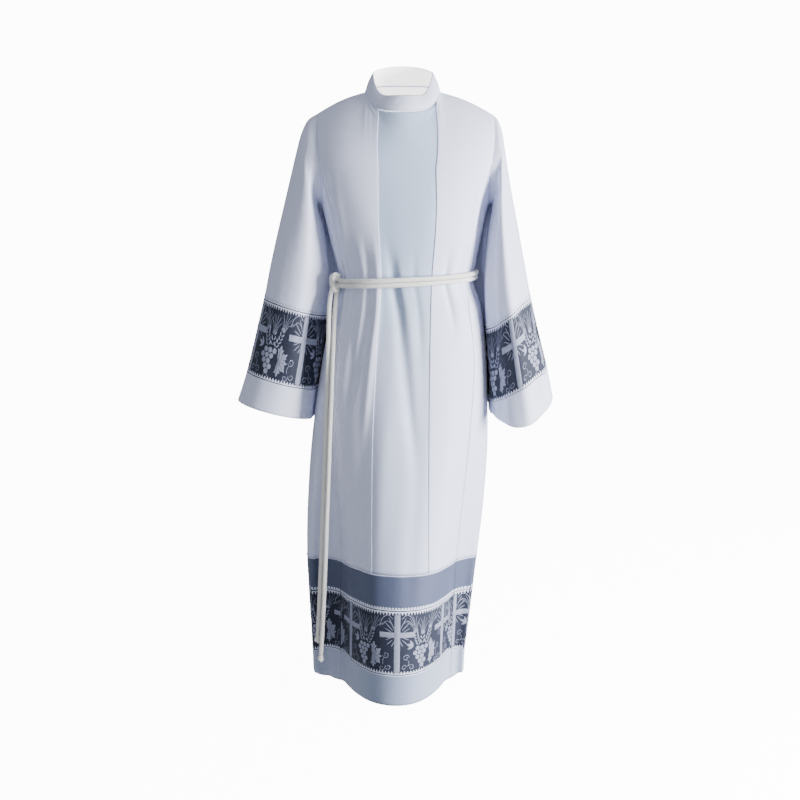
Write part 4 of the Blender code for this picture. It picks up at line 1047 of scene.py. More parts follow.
class Wardrobe:
    """Makes the robe's materials, each of them once."""

    def __init__(self) -> None:
        """Builds the groups that several materials share."""
        self.weave, self.fine_net, self.braid = weave_group(), net_group(), braid_group()

    @staticmethod
    def _start(finish: ClothFinish) -> tuple:
        """A new material with a cloth's surface, its tree and its shader."""
        material = bpy.data.materials.new(finish.name)
        material.use_nodes = True
        tree, shader = Tree(material.node_tree), material.node_tree.nodes["Principled BSDF"]
        # The emission is painted light: a glow in the finish's own colour
        surface = {
            "Roughness": finish.roughness, "Sheen Weight": finish.sheen, "Sheen Roughness": 0.45,
            "Sheen Tint": finish.sheen_tint, "Specular IOR Level": 0.35, "Emission Color": finish.colour,
            "Emission Strength": finish.glow,
        }
        tree.fill(shader, surface)
        return material, tree, shader

    @lru_cache(maxsize=None)
    def cloth(self, finish: ClothFinish) -> bpy.types.Material:
        """A woven cloth, with painted shade where its points are marked: where it lies one layer over the
        shaded inside, and at the front of the hem.
        """
        material, tree, shader = self._start(finish)
        weave = tree.shared(self.weave, Pitch=finish.thread)
        deep, pale = tuple(c * 0.86 for c in finish.shade), tuple(min(c * 1.10, 1.0) for c in finish.colour)
        # Painted shade: where the points are marked, the colour turns to the shade colour
        base = tree.mix(tree.mark("painted_shade"), finish.colour, finish.shade)
        worn = tree.mix(tree.scaled(weave["Slub"], finish.slub), base, deep)
        cloudy = tree.mix(tree.scaled(weave["Cloud"], finish.cloud * 4, -finish.cloud), worn, pale)
        broad = tree.bump(weave["Crumple"], finish.crumple)
        rough = tree.scaled(weave["Slub"], 0.10, finish.roughness - 0.05)
        relief = tree.bump(weave["Height"], finish.relief, broad)
        tree.fill(shader, {"Base Color": cloudy, "Normal": relief, "Roughness": rough})
        return material

    @lru_cache(maxsize=None)
    def net(self, finish: ClothFinish, thread_share: float) -> bpy.types.Material:
        """A net whose threads are paler than what lies behind its holes.

        Args:
            finish: colour is the thread and shade is the ground.
            thread_share: how wide the threads are, as a share of the holes.

        Returns:
            The material, made once.
        """
        material, tree, shader = self._start(finish)
        threads = tree.shared(self.fine_net, Pitch=finish.thread, Thread=thread_share)[0]
        weave = tree.shared(self.weave, Pitch=finish.thread)
        cloud = tree.scaled(weave["Cloud"], finish.cloud * 8, -finish.cloud * 2)
        ground = tree.mix(cloud, finish.shade, finish.colour)
        base = tree.mix(tree.scaled(threads, finish.slub), ground, finish.colour)
        relief = tree.bump(threads, finish.relief, tree.bump(weave["Crumple"], finish.crumple))
        tree.fill(shader, {"Base Color": base, "Normal": relief})
        return material

    @lru_cache(maxsize=None)
    def yarn(self, finish: ClothFinish) -> bpy.types.Material:
        """Yarn in braids, stitches and embroidery, with painted shade between its yarns and in a braid's
        marked hollows.
        """
        material, tree, shader = self._start(finish)
        braid, dust = tree.shared(self.braid, Pitch=finish.thread), tuple(c * 0.7 for c in finish.shade)
        # Painted shade: the colour turns darker between the yarn ridges and in the marked hollows
        base = tree.mix(tree.scaled(braid["Yarn"], -finish.slub, finish.slub), finish.colour, finish.shade)
        base = tree.mix(tree.mark("hollow_shade"), base, finish.shade)
        dusty = tree.mix(tree.scaled(braid["Dust"], finish.cloud), base, dust)
        tree.fill(shader, {"Base Color": dusty, "Normal": tree.bump(braid["Yarn"], finish.relief)})
        return material


# ---- cloth pieces


@dataclass(frozen=True)
class Cut:
    """The flat size of a piece as it is cut, and the area where it isn't a rectangle."""

    width: float
    length: float
    area: float


@dataclass
class Tailor:
    """Lays out the robe's cloth on its form."""

    form: Form
    yoke_rows: int = 26
    skirt_rows: int = 116

    def heights(self) -> Array:
        """The rows of the front and the back, from the top edge to the sheer band."""
        yoke = np.linspace(TOP, YOKE_Z, self.yoke_rows)[:-1]
        return np.r_[yoke, np.linspace(YOKE_Z, SHEER_TOP_Z + SEAM_GAP / 2, self.skirt_rows)]

    def to_neck(self, angle: Array, h: Array, side: int, back: bool) -> Array:
        """The angle of a column that turns, on its way up, to meet the side of the neck."""
        high = smooth((h - (YOKE_Z - NECK_TURN)) / NECK_TURN)
        return angle * (1 - high) + self.form.neck_side_angle(side, back) * high

    def flat_place(self, points: Array) -> Array:
        """The place of each point on the flat cloth: along its row, and down the middle column."""
        middle = points.shape[1] // 2
        across = lengths(points)
        across = across - across[:, middle : middle + 1]
        down = lengths(points[:, middle])[:, None] + np.zeros_like(across)
        return np.stack((across, -down), axis=-1)

    def lay(self, name: str, angle: Array, h: Array, lift: Array, step: Array) -> bpy.types.Object:
        """Lays one piece on the form.

        Args:
            name: the solid that it stands for.
            angle: degrees round the body, by rows and columns.
            h: heights.
            lift: how far each point lies off the middle of the cloth.
            step: how far each point of the front half is moved along the cloth.

        Returns:
            The new shell.
        """
        points = self.form.laid(angle, h, lift, step * (np.abs(wrapped(angle)) < 90.0))
        item = grid_object(f"{name}_cloth", points, self.form.normal(angle, h), self.flat_place(points))
        thicken(item, CLOTH)
        return item

    def finish(
        self, item: bpy.types.Object, node: str, slot: Finish, materials: tuple, trim: tuple = ()
    ) -> None:
        settle(item, node, slot=slot, materials=materials)
        list(trim)
        LOG.info("%s: %d points", item.name, len(item.data.vertices))


@dataclass
class FrontPanel:
    """The front: a flat centre between two edges that fold under, in one piece."""

    tailor: Tailor
    side_columns: tuple = (16, 18)  # from the seam to the neck's column, and from there to the pleat
    centre_columns: int = 42
    round_steps: int = 7  # stations round each folded edge
    full: float = 0.42  # how much of their depth the pleats have over the chest, where they are pressed
    flattened: float = 0.10  # how much less they have below the waist
    flat_z: tuple = (-0.40, 0.30)  # from which height down, and over how much
    thinned: float = 0.60  # how much less painted shade the centre has below the waist
    thin_z: tuple = (-0.35, 0.45)
    cloth: float = CLOTH * 0.65  # finer than the rest, so that its folded layers don't touch

    def _round(self, angle: Array, middle: tuple, start: float, end: float) -> list:
        """The stations round a folded edge."""
        radius = PLEAT_PITCH / 2
        turns = np.radians(np.linspace(start, end, self.round_steps))
        step, lift = middle
        return [(angle, step + radius * math.cos(t), lift + radius * math.sin(t), 0.0) for t in turns]

    def _run(self, start: Array, end: Array, count: int, lift: float = 0.0, painted_shade: float = 0.0) -> list:
        """Even stations between two angles, without the last."""
        shares = np.linspace(0.0, 1.0, count + 1)[:-1]
        return [(start + (end - start) * s, 0.0, lift, painted_shade) for s in shares]

    def stations(self, h: Array) -> list:
        """The stations across the front at all heights.

        Args:
            h: the heights of the rows.

        Returns:
            Tuples of an angle for each row, a step, a lift and the share of painted shade there, which is 1
            on the centre that lies one layer over the shaded inside.
        """
        seam, z = self.tailor.form.seam, np.minimum(h, YOKE_Z)
        start, end = seam("right_seam", z), seam("left_seam", z)
        near, far = seam("right_pleat", z), seam("left_pleat", z)
        before = self.tailor.to_neck((start + near) / 2, h, -1, False)
        after = self.tailor.to_neck((end + far) / 2, h, 1, False)
        half, deep, radius = -PLEAT_PITCH / 2, -PLEAT_PITCH * 1.5, PLEAT_PITCH / 2
        a, b = self.side_columns
        path = self._run(start, before, a) + self._run(before, near, b)
        path += self._round(near, (-radius, half), 90, -90)
        path += self._round(near, (radius - PLEAT_UNDERLAP, deep), 90, 270)
        path += self._run(near, far, self.centre_columns, lift=-2 * PLEAT_PITCH, painted_shade=1.0)
        path += self._round(far, (PLEAT_UNDERLAP - radius, deep), -90, 90)
        path += self._round(far, (radius, half), 270, 90)
        path += self._run(far, after, b)[1:] + self._run(after, end, a)
        path.append((end, -SEAM_GAP / 2, 0.0, 0.0))
        path[0] = (start, SEAM_GAP / 2, 0.0, 0.0)
        return path

    def build(self) -> bpy.types.Object:
        """Builds the front."""
        h = self.tailor.heights()
        path = self.stations(h)
        angle, step = (np.stack([np.ones_like(h) * p[k] for p in path], axis=1) for k in (0, 1))
        flat = self.full - self.flattened * smooth((self.flat_z[0] - h) / self.flat_z[1])
        lift = np.stack([flat * p[2] for p in path], axis=1)
        # Painted shade: the centre is marked darker, most of all over the chest, for the shade that falls on
        # it and shows through it
        shade_share = 1.0 - self.thinned * smooth((self.thin_z[0] - h) / self.thin_z[1])
        painted_shade = np.stack([shade_share * p[3] for p in path], axis=1)
        rows = h[:, None] + np.zeros_like(angle)
        trimmed = np.minimum(rows, TOP + PLEAT_TRIM * np.minimum(lift, 0.0))
        rows = np.where(np.abs(step) > PLEAT_PITCH, trimmed, rows)
        item = self.tailor.lay("front_panel", angle, rows, lift, step)
        item.modifiers["thickness"].thickness = self.cloth
        mark_points(item, "painted_shade", painted_shade.ravel())
        return item


@dataclass
class PlainPanels:
    """The back, the side panels and the bands, each a plain piece between two seams."""

    tailor: Tailor
    back_columns: tuple = (18, 44)  # on each side of the neck, and between
    gore_columns: int = 34
    gore_rows: tuple = (12, 96)  # above and below the height where its rows are level
    level_z: float = -0.345
    shaded: tuple = (5.0, 26.0)  # the middle and the spread, in degrees, of the painted shade at the front of each band

    def back(self) -> bpy.types.Object:
        """Builds the back, with columns that run to the sides of the neck."""
        form, h = self.tailor.form, self.tailor.heights()
        z = np.minimum(h, YOKE_Z)
        start, end = form.seam("back_left", z), form.seam("back_right", z)
        third, (a, b) = (end - start) / 3, self.back_columns
        near = self.tailor.to_neck(start + third, h, 1, True)
        far = self.tailor.to_neck(end - third, h, -1, True)
        marks = []
        for first, last, count in ((start, near, a), (near, far, b), (far, end, a)):
            marks += [first + (last - first) * s for s in np.linspace(0, 1, count + 1)[:-1]]
        angle = np.stack([*marks, far + (end - far) * 1.0], axis=1)
        rows = h[:, None] + np.zeros_like(angle)
        return self.tailor.lay("back_panel", angle, rows, 0.0 * angle, 0.0 * angle)

    def side(self, side: int) -> bpy.types.Object:
        """Builds a side panel, whose upper edge dips under the arm."""
        form = self.tailor.form
        shares = np.linspace(-1.0, 1.0, self.gore_columns + 1)
        tops, level, (above, under) = form.gore_top(shares) - SEAM_GAP / 2, self.level_z, self.gore_rows
        upper = tops[None] + (level - tops[None]) * np.linspace(0, 1, above)[:-1, None]
        below = np.linspace(level, SHEER_TOP_Z + SEAM_GAP / 2, under)[:, None] + np.zeros_like(shares)
        rows = np.concatenate((upper, below))
        angle = form.gore_angle(side, shares[None] + np.zeros_like(rows), rows)
        step = np.zeros_like(angle)
        step[:, 0], step[:, -1] = SEAM_GAP / 2 * side, -SEAM_GAP / 2 * side
        return self.tailor.lay(f"side_panel_{HANDS[side]}", angle, rows, 0.0 * angle, step)

    def band(
        self, name: str, seams: tuple, top: float, foot: float, columns: int, rows: int, lift: float = 0.0
    ) -> bpy.types.Object:
        """Builds one length of a band of the skirt.

        Args:
            name: the solid that it stands for.
            seams: functions that give the angle of the first and the last seam at a height.
            top: its upper edge.
            foot: its lower edge.
            columns: steps across.
            rows: steps down.
            lift: how far it lies off the cloth.

        Returns:
            The new shell.
        """
        end = foot if foot == HEM_Z else foot + SEAM_GAP / 2
        h = np.linspace(top - SEAM_GAP / 2, end, rows + 1)
        start, stop = seams[0](h), seams[1](h)
        shares = np.linspace(0.0, 1.0, columns + 1)
        angle = start[:, None] + (stop - start)[:, None] * shares
        step = np.zeros_like(angle)
        step[:, 0], step[:, -1] = SEAM_GAP / 2, -SEAM_GAP / 2
        item = self.tailor.lay(name, angle, h[:, None] + 0.0 * angle, 0.0 * angle + lift, step)
        middle, spread = self.shaded
        # Painted shade at the front of the band, where the light reaches less; only the hem cloth reads it
        mark_points(item, "painted_shade", np.exp(-((wrapped(angle - middle) / spread) ** 2)).ravel())
        return item


class BandLength(NamedTuple):
    """One length of each band, between two of the long seams."""

    place: str
    first: str
    last: str
    turn: float  # degrees added to its last seam, where it passes the back
    columns: int
    cross_at: float  # how far from its first seam a cross of the lace stands

    def seams(self, form: Form) -> tuple:
        """The angles of its first and its last seam, as functions of height."""
        return (lambda z: form.seam(self.first, z), lambda z: form.seam(self.last, z) + self.turn)


BAND_LENGTHS = table(
    BandLength,  # place, first, last, turn, columns, cross_at
    ("front", "right_seam", "left_seam", 0.0, 140, 0.2050),
    ("left", "left_seam", "back_left", 0.0, 60, 0.0040),
    ("back", "back_left", "back_right", 0.0, 110, 0.1450),
    ("right", "back_right", "right_seam", 360.0, 60, 0.1270),
)
SEWN_EDGE = (0.0024, 0.0008)  # how deep the sheer band's pale edging is, and how far it lies off the net


@dataclass
class Sleeves:
    """Both sleeves: the upper, its lace band and its cuff."""

    tailor: Tailor
    columns: int = 120

    def build(self, form: SleeveForm, name: str, start: int, end: int) -> bpy.types.Object:
        """Builds one stretch of a sleeve, all the way round.

        Args:
            form: the sleeve's surface.
            name: the solid that it stands for.
            start: its first ring.
            end: its last ring.

        Returns:
            The new shell.
        """
        marks = np.linspace(start, end, (end - start) * form.per_ring * 2 + 1)
        turns = np.linspace(0.0, 360.0, self.columns, endpoint=False)
        turn, mark = np.broadcast_arrays(turns[None], marks[:, None])
        points = form.laid(turn, mark)
        if start > 0:
            points[0] += unit(points[1] - points[0]) * SEAM_GAP
        if end < HEM_ROW:
            points[-1] -= unit(points[-1] - points[-2]) * SEAM_GAP
        flat = self.tailor.flat_place(points)
        item = grid_object(f"{name}_cloth", points, form.outward(turn, mark), flat, closed=True)
        thicken(item, CLOTH)
        return item


@dataclass
class Collar:
    """The stand: a doubled band that rises from the neckline and leans in, with a cream inside whose paleness
    and glow are painted light.
    """

    form: Form
    wardrobe: Wardrobe
    columns: int = 120
    rows: int = 12
    height: float = 0.045  # of its flat strip
    bow: float = 0.0022  # how far its middle stands out
    wave: float = 0.0006  # how far its upper edge wavers
    front_dip: float = 1.15  # how early its upper edge runs level at the front
    back_dome: float = 1.35  # how round its upper edge is at the back
    piping: float = 0.0013
    piping_columns: int = 160

    def _stand(self, share: Array, turn: Array) -> Array:
        """Points of the stand; share runs from the neckline to its upper edge."""
        s, c = sine_cosine(turn)
        base = self.form.neck_point(turn) + np.array((0.0, 0.0, WALL / 2 + 5 * SEAM_GAP))
        depth = np.where(c > 0, STAND_FRONT, STAND_BACK)
        end_z = np.where(c > 0, STAND_FRONT_Z, STAND_BACK_Z)
        dip, dome = smooth(np.abs(c) * self.front_dip), np.abs(c) ** self.back_dome
        z = STAND_SIDE_Z + (end_z - STAND_SIDE_Z) * np.where(c > 0, dip, dome)
        top = np.stack((NECK_X + STAND_HALF_WIDTH * s, -depth * c, z), axis=-1)
        point = base + (top - base) * share[..., None]
        bow = self.bow * np.sin(np.pi * share) + self.wave * np.sin(np.radians(turn * 5 + 40)) * share
        return point + np.stack((s, -c, 0 * s), axis=-1) * bow[..., None]

    def build(self) -> None:
        turns = np.linspace(0.0, 360.0, self.columns, endpoint=False)
        turn, share = np.broadcast_arrays(turns[None], np.linspace(0.0, 1.0, self.rows)[:, None])
        points = self._stand(share, turn)
        s, c = sine_cosine(turn)
        away = unit(np.stack((s / NECK_HALF_WIDTH, -c / NECK_BACK, 0 * s), axis=-1))
        flat = np.stack((lengths(points), share * self.height), axis=-1)
        stand = grid_object("collar_stand_cloth", points, away, flat, closed=True)
        thicken(stand, STAND_WALL, inner_slot=1)
        rows = np.linspace(0.0, 360.0, self.piping_columns + 1)[:-1]
        s, c = sine_cosine(rows)
        out = unit(np.stack((s / NECK_HALF_WIDTH, -c / NECK_FRONT, 0 * s), axis=-1))
        route = self._stand(np.zeros_like(rows), rows) + out * 0.0010 - np.array((0.0, 0.0, 0.0007))
        piping = tube("collar_piping", route, lambda u, v: self.piping + 0 * u, columns=8, loop=True)
        faces = self.wardrobe.cloth(WHITE_CLOTH), self.wardrobe.cloth(INNER_CLOTH)
        settle(stand, "collar_stand", slot=Finish.CLOTH, materials=faces)
        settle(piping, slot=Finish.CLOTH, materials=(self.wardrobe.cloth(SEAM_CLOTH),))


# ---- tubes and cords


def frames(points: Array, loop: bool) -> tuple:
    """Two directions square to a route at each of its points, carried along it without twist."""
    n = len(points)
    if loop:
        tangent = unit(np.roll(points, -1, axis=0) - np.roll(points, 1, axis=0))
    else:
        tangent = unit(np.gradient(points, axis=0))
    guess = np.array((0.0, -1.0, 0.0)) if abs(tangent[0][1]) < 0.9 else np.array((1.0, 0.0, 0.0))
    first = np.zeros_like(points)
    first[0] = unit(guess - tangent[0] * np.dot(guess, tangent[0]))
    for i in range(1, n):
        carried = first[i - 1] - tangent[i] * np.dot(first[i - 1], tangent[i])
        first[i] = unit(carried)
    if loop:
        end = first[-1] - tangent[0] * np.dot(first[-1], tangent[0])
        slip = math.atan2(float(np.dot(np.cross(first[0], end), tangent[0])), float(np.dot(first[0], end)))
        angle = -slip * np.arange(n) / n
        second = np.cross(tangent, first)
        first = first * np.cos(angle)[:, None] + second * np.sin(angle)[:, None]
    return first, np.cross(tangent, first), tangent


CAP_TURNS = tuple(math.radians(turn) for turn in (30.0, 60.0, 90.0))  # the rings of a tube's rounded end


def tube(name: str, route: Array, radius: Callable, columns: int, loop: bool = False) -> bpy.types.Object:
    """A tube along a route.

    Args:
        name: the piece's name.
        route: its middle, point by point.
        radius: the radius from the turn round it in radians and the length along it.
        columns: points round it.
        loop: True where the route closes on itself.

    Returns:
        The new object, with rounded closed ends where the route is open.
    """
    points = np.vstack((route, route[:1])) if loop else route
    first, second, tangent = frames(route, loop)
    along = lengths(points)
    if loop:
        first, second = np.vstack((first, first[:1])), np.vstack((second, second[:1]))
    turns = np.linspace(0.0, math.tau, columns, endpoint=False)
    u, v = np.meshgrid(turns, along)
    r = radius(u, v)
    spin = first[:, None] * np.cos(u)[..., None] + second[:, None] * np.sin(u)[..., None]
    grid = points[:, None] + spin * r[..., None]
    flat = np.stack((u * float(np.mean(r)), v), axis=-1)
    if not loop:
        caps = []
        for k, way in ((0, -1.0), (-1, 1.0)):
            out = tangent[k] * way * float(np.mean(r[k])) * 0.5
            rings = [spin[k] * (r[k] * math.cos(t))[:, None] + out * math.sin(t) for t in CAP_TURNS]
            caps.append([points[k] + ring for ring in rings])
        grid, n = np.concatenate((caps[0][::-1], grid, caps[1])), len(CAP_TURNS)
        flat, spin = (np.concatenate((a[:1].repeat(n, 0), a, a[-1:].repeat(n, 0))) for a in (flat, spin))
    item = grid_object(name, grid, spin, flat, closed=True)
    merge_points(item.data, 0.00001)
    return item


NEAREST_AT_ONCE = 2000  # points measured against a route together


@dataclass(frozen=True)
class Braid:
    """How a round cord is braided."""

    radius: float
    stitches: int = 7  # round it, in each direction
    lay: float = 0.0105  # the length over which a strand passes one stitch aside
    depth: float = 0.0009

    def height(self, u: Array, v: Array) -> Array:
        """How high the braid stands, from 0 in its hollows to 1, at a turn and a length."""
        a = u / math.tau * self.stitches + v / self.lay
        b = u / math.tau * self.stitches - v / self.lay
        over = (np.floor(a) + np.floor(b)) % 2 < 1
        ridge_a, ridge_b = np.abs(np.sin(math.pi * (a % 1.0))), np.abs(np.sin(math.pi * (b % 1.0)))
        upper, lower = np.where(over, ridge_a, ridge_b), np.where(over, ridge_b, ridge_a)
        return np.maximum(upper**0.6 * (0.55 + 0.45 * lower**0.5), 0.35 * lower)

    def surface(self, u: Array, v: Array) -> Array:
        """The radius at a turn and a length."""
        return self.radius - self.depth * (1.0 - self.height(u, v))

    def cord(self, name: str, route: Array, columns: int = 28) -> bpy.types.Object:
        """A braided cord along a route of even points."""
        item = tube(name, route, self.surface, columns)
        place = pulled(item.data.vertices, "co")
        gap = np.empty(len(place))
        for start in range(0, len(place), NEAREST_AT_ONCE):
            part = place[start : start + NEAREST_AT_ONCE, None]
            gap[start : start + NEAREST_AT_ONCE] = np.min(np.linalg.norm(part - route[None], axis=-1), axis=1)
        # Painted shade: the braid's hollows are marked, for the yarn material to darken
        mark_points(item, "hollow_shade", np.clip((self.radius - gap) / self.depth - 0.25, 0.0, 1.0) * 0.75)
        return item


# The knot's pieces: a radius, then places across the knot, off the body and up. A wrap that goes over, a loop
# that lies across, and a core.
KNOT_PARTS = (
    (0.0058, (
        (0.0075, -0.005, 0.0140), (0.0094, 0.003, 0.0175), (0.0100, 0.0085, 0.0125), (0.0100, 0.0100, 0.0),
        (0.0094, 0.0085, -0.0130), (0.0075, 0.0020, -0.0180), (0.0050, -0.004, -0.0140),
    )),
    (0.0056, (
        (0.0112, -0.002, -0.0060), (0.0, 0.0030, -0.0105), (-0.0119, 0.0040, -0.0095), (-0.0150, 0.0042, 0.0),
        (-0.0119, 0.0042, 0.0110), (0.0, 0.0030, 0.0110), (0.0112, -0.002, 0.0070),
    )),
    (0.0070, (
        (-0.0030, 0.0, -0.0170), (-0.0030, 0.0030, -0.006), (-0.0030, 0.0030, 0.006), (-0.002, 0.0, 0.0150),
    )),
)


@dataclass
class Cincture:
    """The cord: two strands round the waist, the knot, and two tails that end in knots."""

    form: Form
    wardrobe: Wardrobe
    braid: Braid = field(default_factory=lambda: Braid(radius=ROPE / 2))
    step: float = 0.0011  # from one ring of a cord to the next
    strand_points: int = 64
    spread: float = 1.3  # how much more the strands stand off at the front and the back than at the sides
    path_points: int = 36
    knot_points: int = 60
    end_off: float = 0.0093  # how far beyond its tail the middle of an end knot lies
    end_half: tuple = (0.0074, 0.0090)
    end_turns: float = 2.2

    def belt_z(self, angle: Array) -> Array:
        """The height of the cord round the waist."""
        return BELT_Z + BELT_TILT * np.sin(np.radians(angle))

    def knot_middle(self) -> Array:
        """The middle of the knot."""
        z = float(self.belt_z(KNOT_ANGLE))
        return self.form.ring(KNOT_ANGLE, z) + self.form.normal(KNOT_ANGLE, z) * KNOT_OUT

    def strand(self, level: int, name: str) -> bpy.types.Object:
        """One of the two strands round the waist."""
        angle = np.linspace(KNOT_ANGLE + STRAND_START, KNOT_ANGLE + 360.0 - STRAND_START, self.strand_points)
        z = self.belt_z(angle) + level * (ROPE + SEAM_GAP) / 2
        s, c = sine_cosine(angle)
        out = unit(np.stack((s, -c * self.spread, 0 * s), axis=-1)) * (WALL / 2 + ROPE / 2 + BELT_EASE)
        points = self.form.ring(angle, z, 0.0) + out
        total = float(lengths(points)[-1])
        return self.braid.cord(name, smooth_route(points, int(total / self.step)))

    def tail(self, name: str, points: tuple) -> tuple:
        """One hanging tail and the route that it follows."""
        route = smooth_route(points, self.path_points)
        total = float(lengths(route)[-1])
        return self.braid.cord(name, smooth_route(route, int(total / self.step))), route, total

    def coiled(self, name: str, middle: Array, axis: Array, half: tuple, turns: float) -> bpy.types.Object:
        """A knot of wraps round an axis, closed over a core.

        Args:
            name: the piece's name.
            middle: its middle.
            axis: the direction that its wraps go round.
            half: its half width and its half length.
            turns: the number of wraps.

        Returns:
            The new object.
        """
        axis = unit(np.array(axis))
        side = unit(np.cross(axis, (0.0, 1.0, 0.2)))
        other = np.cross(axis, side)
        width, length = half
        rope = min(width * 0.55, length / turns * 1.15)
        t = np.linspace(0.0, 1.0, int(90 * turns))
        swell = np.sqrt(np.clip(1.0 - (2 * t - 1) ** 4 * 0.55, 0.0, 1.0))
        spin = t * math.tau * turns
        reach = (width - rope) * swell
        route = (
            middle
            + axis * ((2 * t - 1) * (length - rope))[:, None]
            + side * (np.cos(spin) * reach)[:, None]
            + other * (np.sin(spin) * reach)[:, None]
        )
        return Braid(radius=rope, stitches=5, lay=rope * 2.2, depth=rope * 0.16).cord(name, route, columns=20)

    def waist_knot(self) -> bpy.types.Object:
        """The knot at the waist."""
        middle, up = self.knot_middle(), np.array((0.0, 0.0, 1.0))
        normal = self.form.normal(KNOT_ANGLE, float(self.belt_z(KNOT_ANGLE)))
        normal = unit(np.array((normal[0], normal[1], 0.0)))
        across = unit(np.cross(up, normal))
        strands = []
        for index, (radius, places) in enumerate(KNOT_PARTS):
            points = [middle + across * a + normal * n + up * z for a, n, z in places]
            route = smooth_route(points, self.knot_points)
            strands.append(Braid(radius=radius, lay=0.0095, depth=0.0008).cord(f"knot_part_{index}", route))
        return joined("cord_knot_wraps", strands)

    def build(self) -> None:
        """Builds the cord."""
        dress = partial(settle, slot=Finish.CORD, materials=(self.wardrobe.yarn(CORD_YARN),))
        for name, points in (("outer", OUTER_TAIL), ("inner", INNER_TAIL)):
            piece, route, total = self.tail(f"cord_tail_{name}_braid", points)
            down = unit(route[-1] - route[-2])
            below = route[-1] + down * self.end_off
            end = self.coiled(f"cord_end_{name}_wraps", below, down, self.end_half, self.end_turns)
            dress(piece, f"cord_tail_{name}")
            dress(end, f"cord_end_{name}")
            tuple(map(float, route[0]))
            [tuple(map(float, p)) for p in route]
            LOG.info("tail %s: %.3f m", name, total)
        for level, name in ((1, "upper"), (-1, "lower")):
            dress(self.strand(level, f"cord_strand_{name}_braid"), f"cord_strand_{name}")
        dress(self.waist_knot(), "cord_knot")


def joined(name: str, items: list) -> bpy.types.Object:
    """Joins pieces into one mesh, and takes the pieces away."""
    bm = bmesh.new()
    for item in items:
        bm.from_mesh(item.data)
    mesh = mesh_of(bm, name)
    for item in items:
        data = item.data
        bpy.data.objects.remove(item)
        bpy.data.meshes.remove(data)
    mesh.shade_smooth()
    return linked(name, mesh)


# ---- lace ornament


def taper(start: float, end: float) -> Callable:
    """A width that grows from a share at one end, and shrinks to a share at the other."""

    def width(u: Array) -> Array:
        """The share of the full width at a place along the stroke."""
        rise, fall = smooth(u / 0.3), smooth((1.0 - u) / 0.3)
        return (start + (1 - start) * rise) * (end + (1 - end) * fall)

    return width


def lens(u: Array) -> Array:
    """A width that swells from a point and shrinks to a point."""
    return np.sin(np.pi * np.clip(u, 0.02, 0.98)) ** 0.8


def wedge(u: Array) -> Array:
    """A width that shrinks evenly to a point."""
    return 1.0 - 0.94 * u


def even(u: Array) -> Array:
    """The same width all along."""
    return np.ones_like(u)


def polar(x: float, y: float, reach: float, turn: float) -> tuple:
    """The point that lies a distance from another, at a turn in degrees."""
    angle = math.radians(turn)
    return x + reach * math.cos(angle), y + reach * math.sin(angle)


class Drawing:
    """A flat drawing in raised thread. Its x runs along the band and its y up from the band's foot, in mm."""

    def __init__(self) -> None:
        """Starts with nothing drawn."""
        self.bm = bmesh.new()

    def stroke(
        self, points: tuple, width: float, profile: Callable = even, rise: float = 0.45, steps: int = 8,
        groove: float = 0.0, slot: int = 0,
    ) -> None:
        """Draws a ribbon of thread through points.

        Args:
            points: pairs of x and y.
            width: its full width.
            profile: the share of the width along it.
            rise: how high its middle stands.
            steps: faces along it.
            groove: how deep its middle line is pressed in.
            slot: its material.
        """
        flat = np.array([(x, y, 0.0) for x, y in points])
        route = smooth_route(flat, steps + 1) if len(points) > 2 else np.linspace(*flat, steps + 1)
        way = unit(np.gradient(route, axis=0))
        side = np.stack((-way[:, 1], way[:, 0], 0 * way[:, 0]), axis=-1)
        half = width / 2 * profile(np.linspace(0.0, 1.0, steps + 1))
        columns = 4 if groove else 2
        made = bmesh.ops.create_grid(self.bm, x_segments=columns, y_segments=steps, size=0.5)["verts"]
        for vertex in made:
            across, row = -vertex.co.x * 2, round((vertex.co.y + 0.5) * steps)
            high = rise * (1 - across * across)
            if groove:
                high = {0: rise - groove, 5: rise}.get(round(abs(across) * 10), 0.0)
            place = route[row] + side[row] * half[row] * across
            vertex.co = (place[0], place[1], high)
            for face in vertex.link_faces:
                face.material_index = slot

    def bead(self, x: float, y: float, radius: float, rise: float = 0.9, slot: int = 0) -> None:
        """Draws a round bead of thread."""
        turn = Matrix.Translation((x, y, 0.0))
        made = bmesh.ops.create_circle(self.bm, cap_ends=True, radius=radius, segments=12, matrix=turn)
        rim = made["verts"]
        face = next(f for f in rim[0].link_faces if all(v in f.verts for v in rim))
        if face.normal.z < 0:
            face.normal_flip()
        inner = bmesh.ops.inset_region(self.bm, faces=[face], thickness=radius * 0.45, depth=0.0)["faces"]
        top = bmesh.ops.poke(self.bm, faces=[face])
        for vertex in {v for f in top["faces"] for v in f.verts}:
            vertex.co.z = rise * 0.8
        top["verts"][0].co.z = rise
        for f in [*inner, *top["faces"]]:
            f.material_index = slot

    def mesh(self, name: str) -> bpy.types.Mesh:
        """Gives the drawing as mesh data."""
        return mesh_of(self.bm, name)


@dataclass(frozen=True)
class LaceSizes:
    """The sizes of the ornament, in mm. The cross stands at x 0 and the sprays lie to its right and left."""

    repeat: float = REPEAT * 1000
    height: float = 150.0
    bar: float = 14.5
    cross_foot: float = 4.0
    cross_top: float = 143.5
    arms_y: float = 94.0
    arm_reach: float = 41.0
    spray_x: float = -80.0
    beard_top: float = 139.0
    picot: float = 7.25
    hole: float = 4.2
    binding: float = 5.9  # how far above the height its upper binding runs


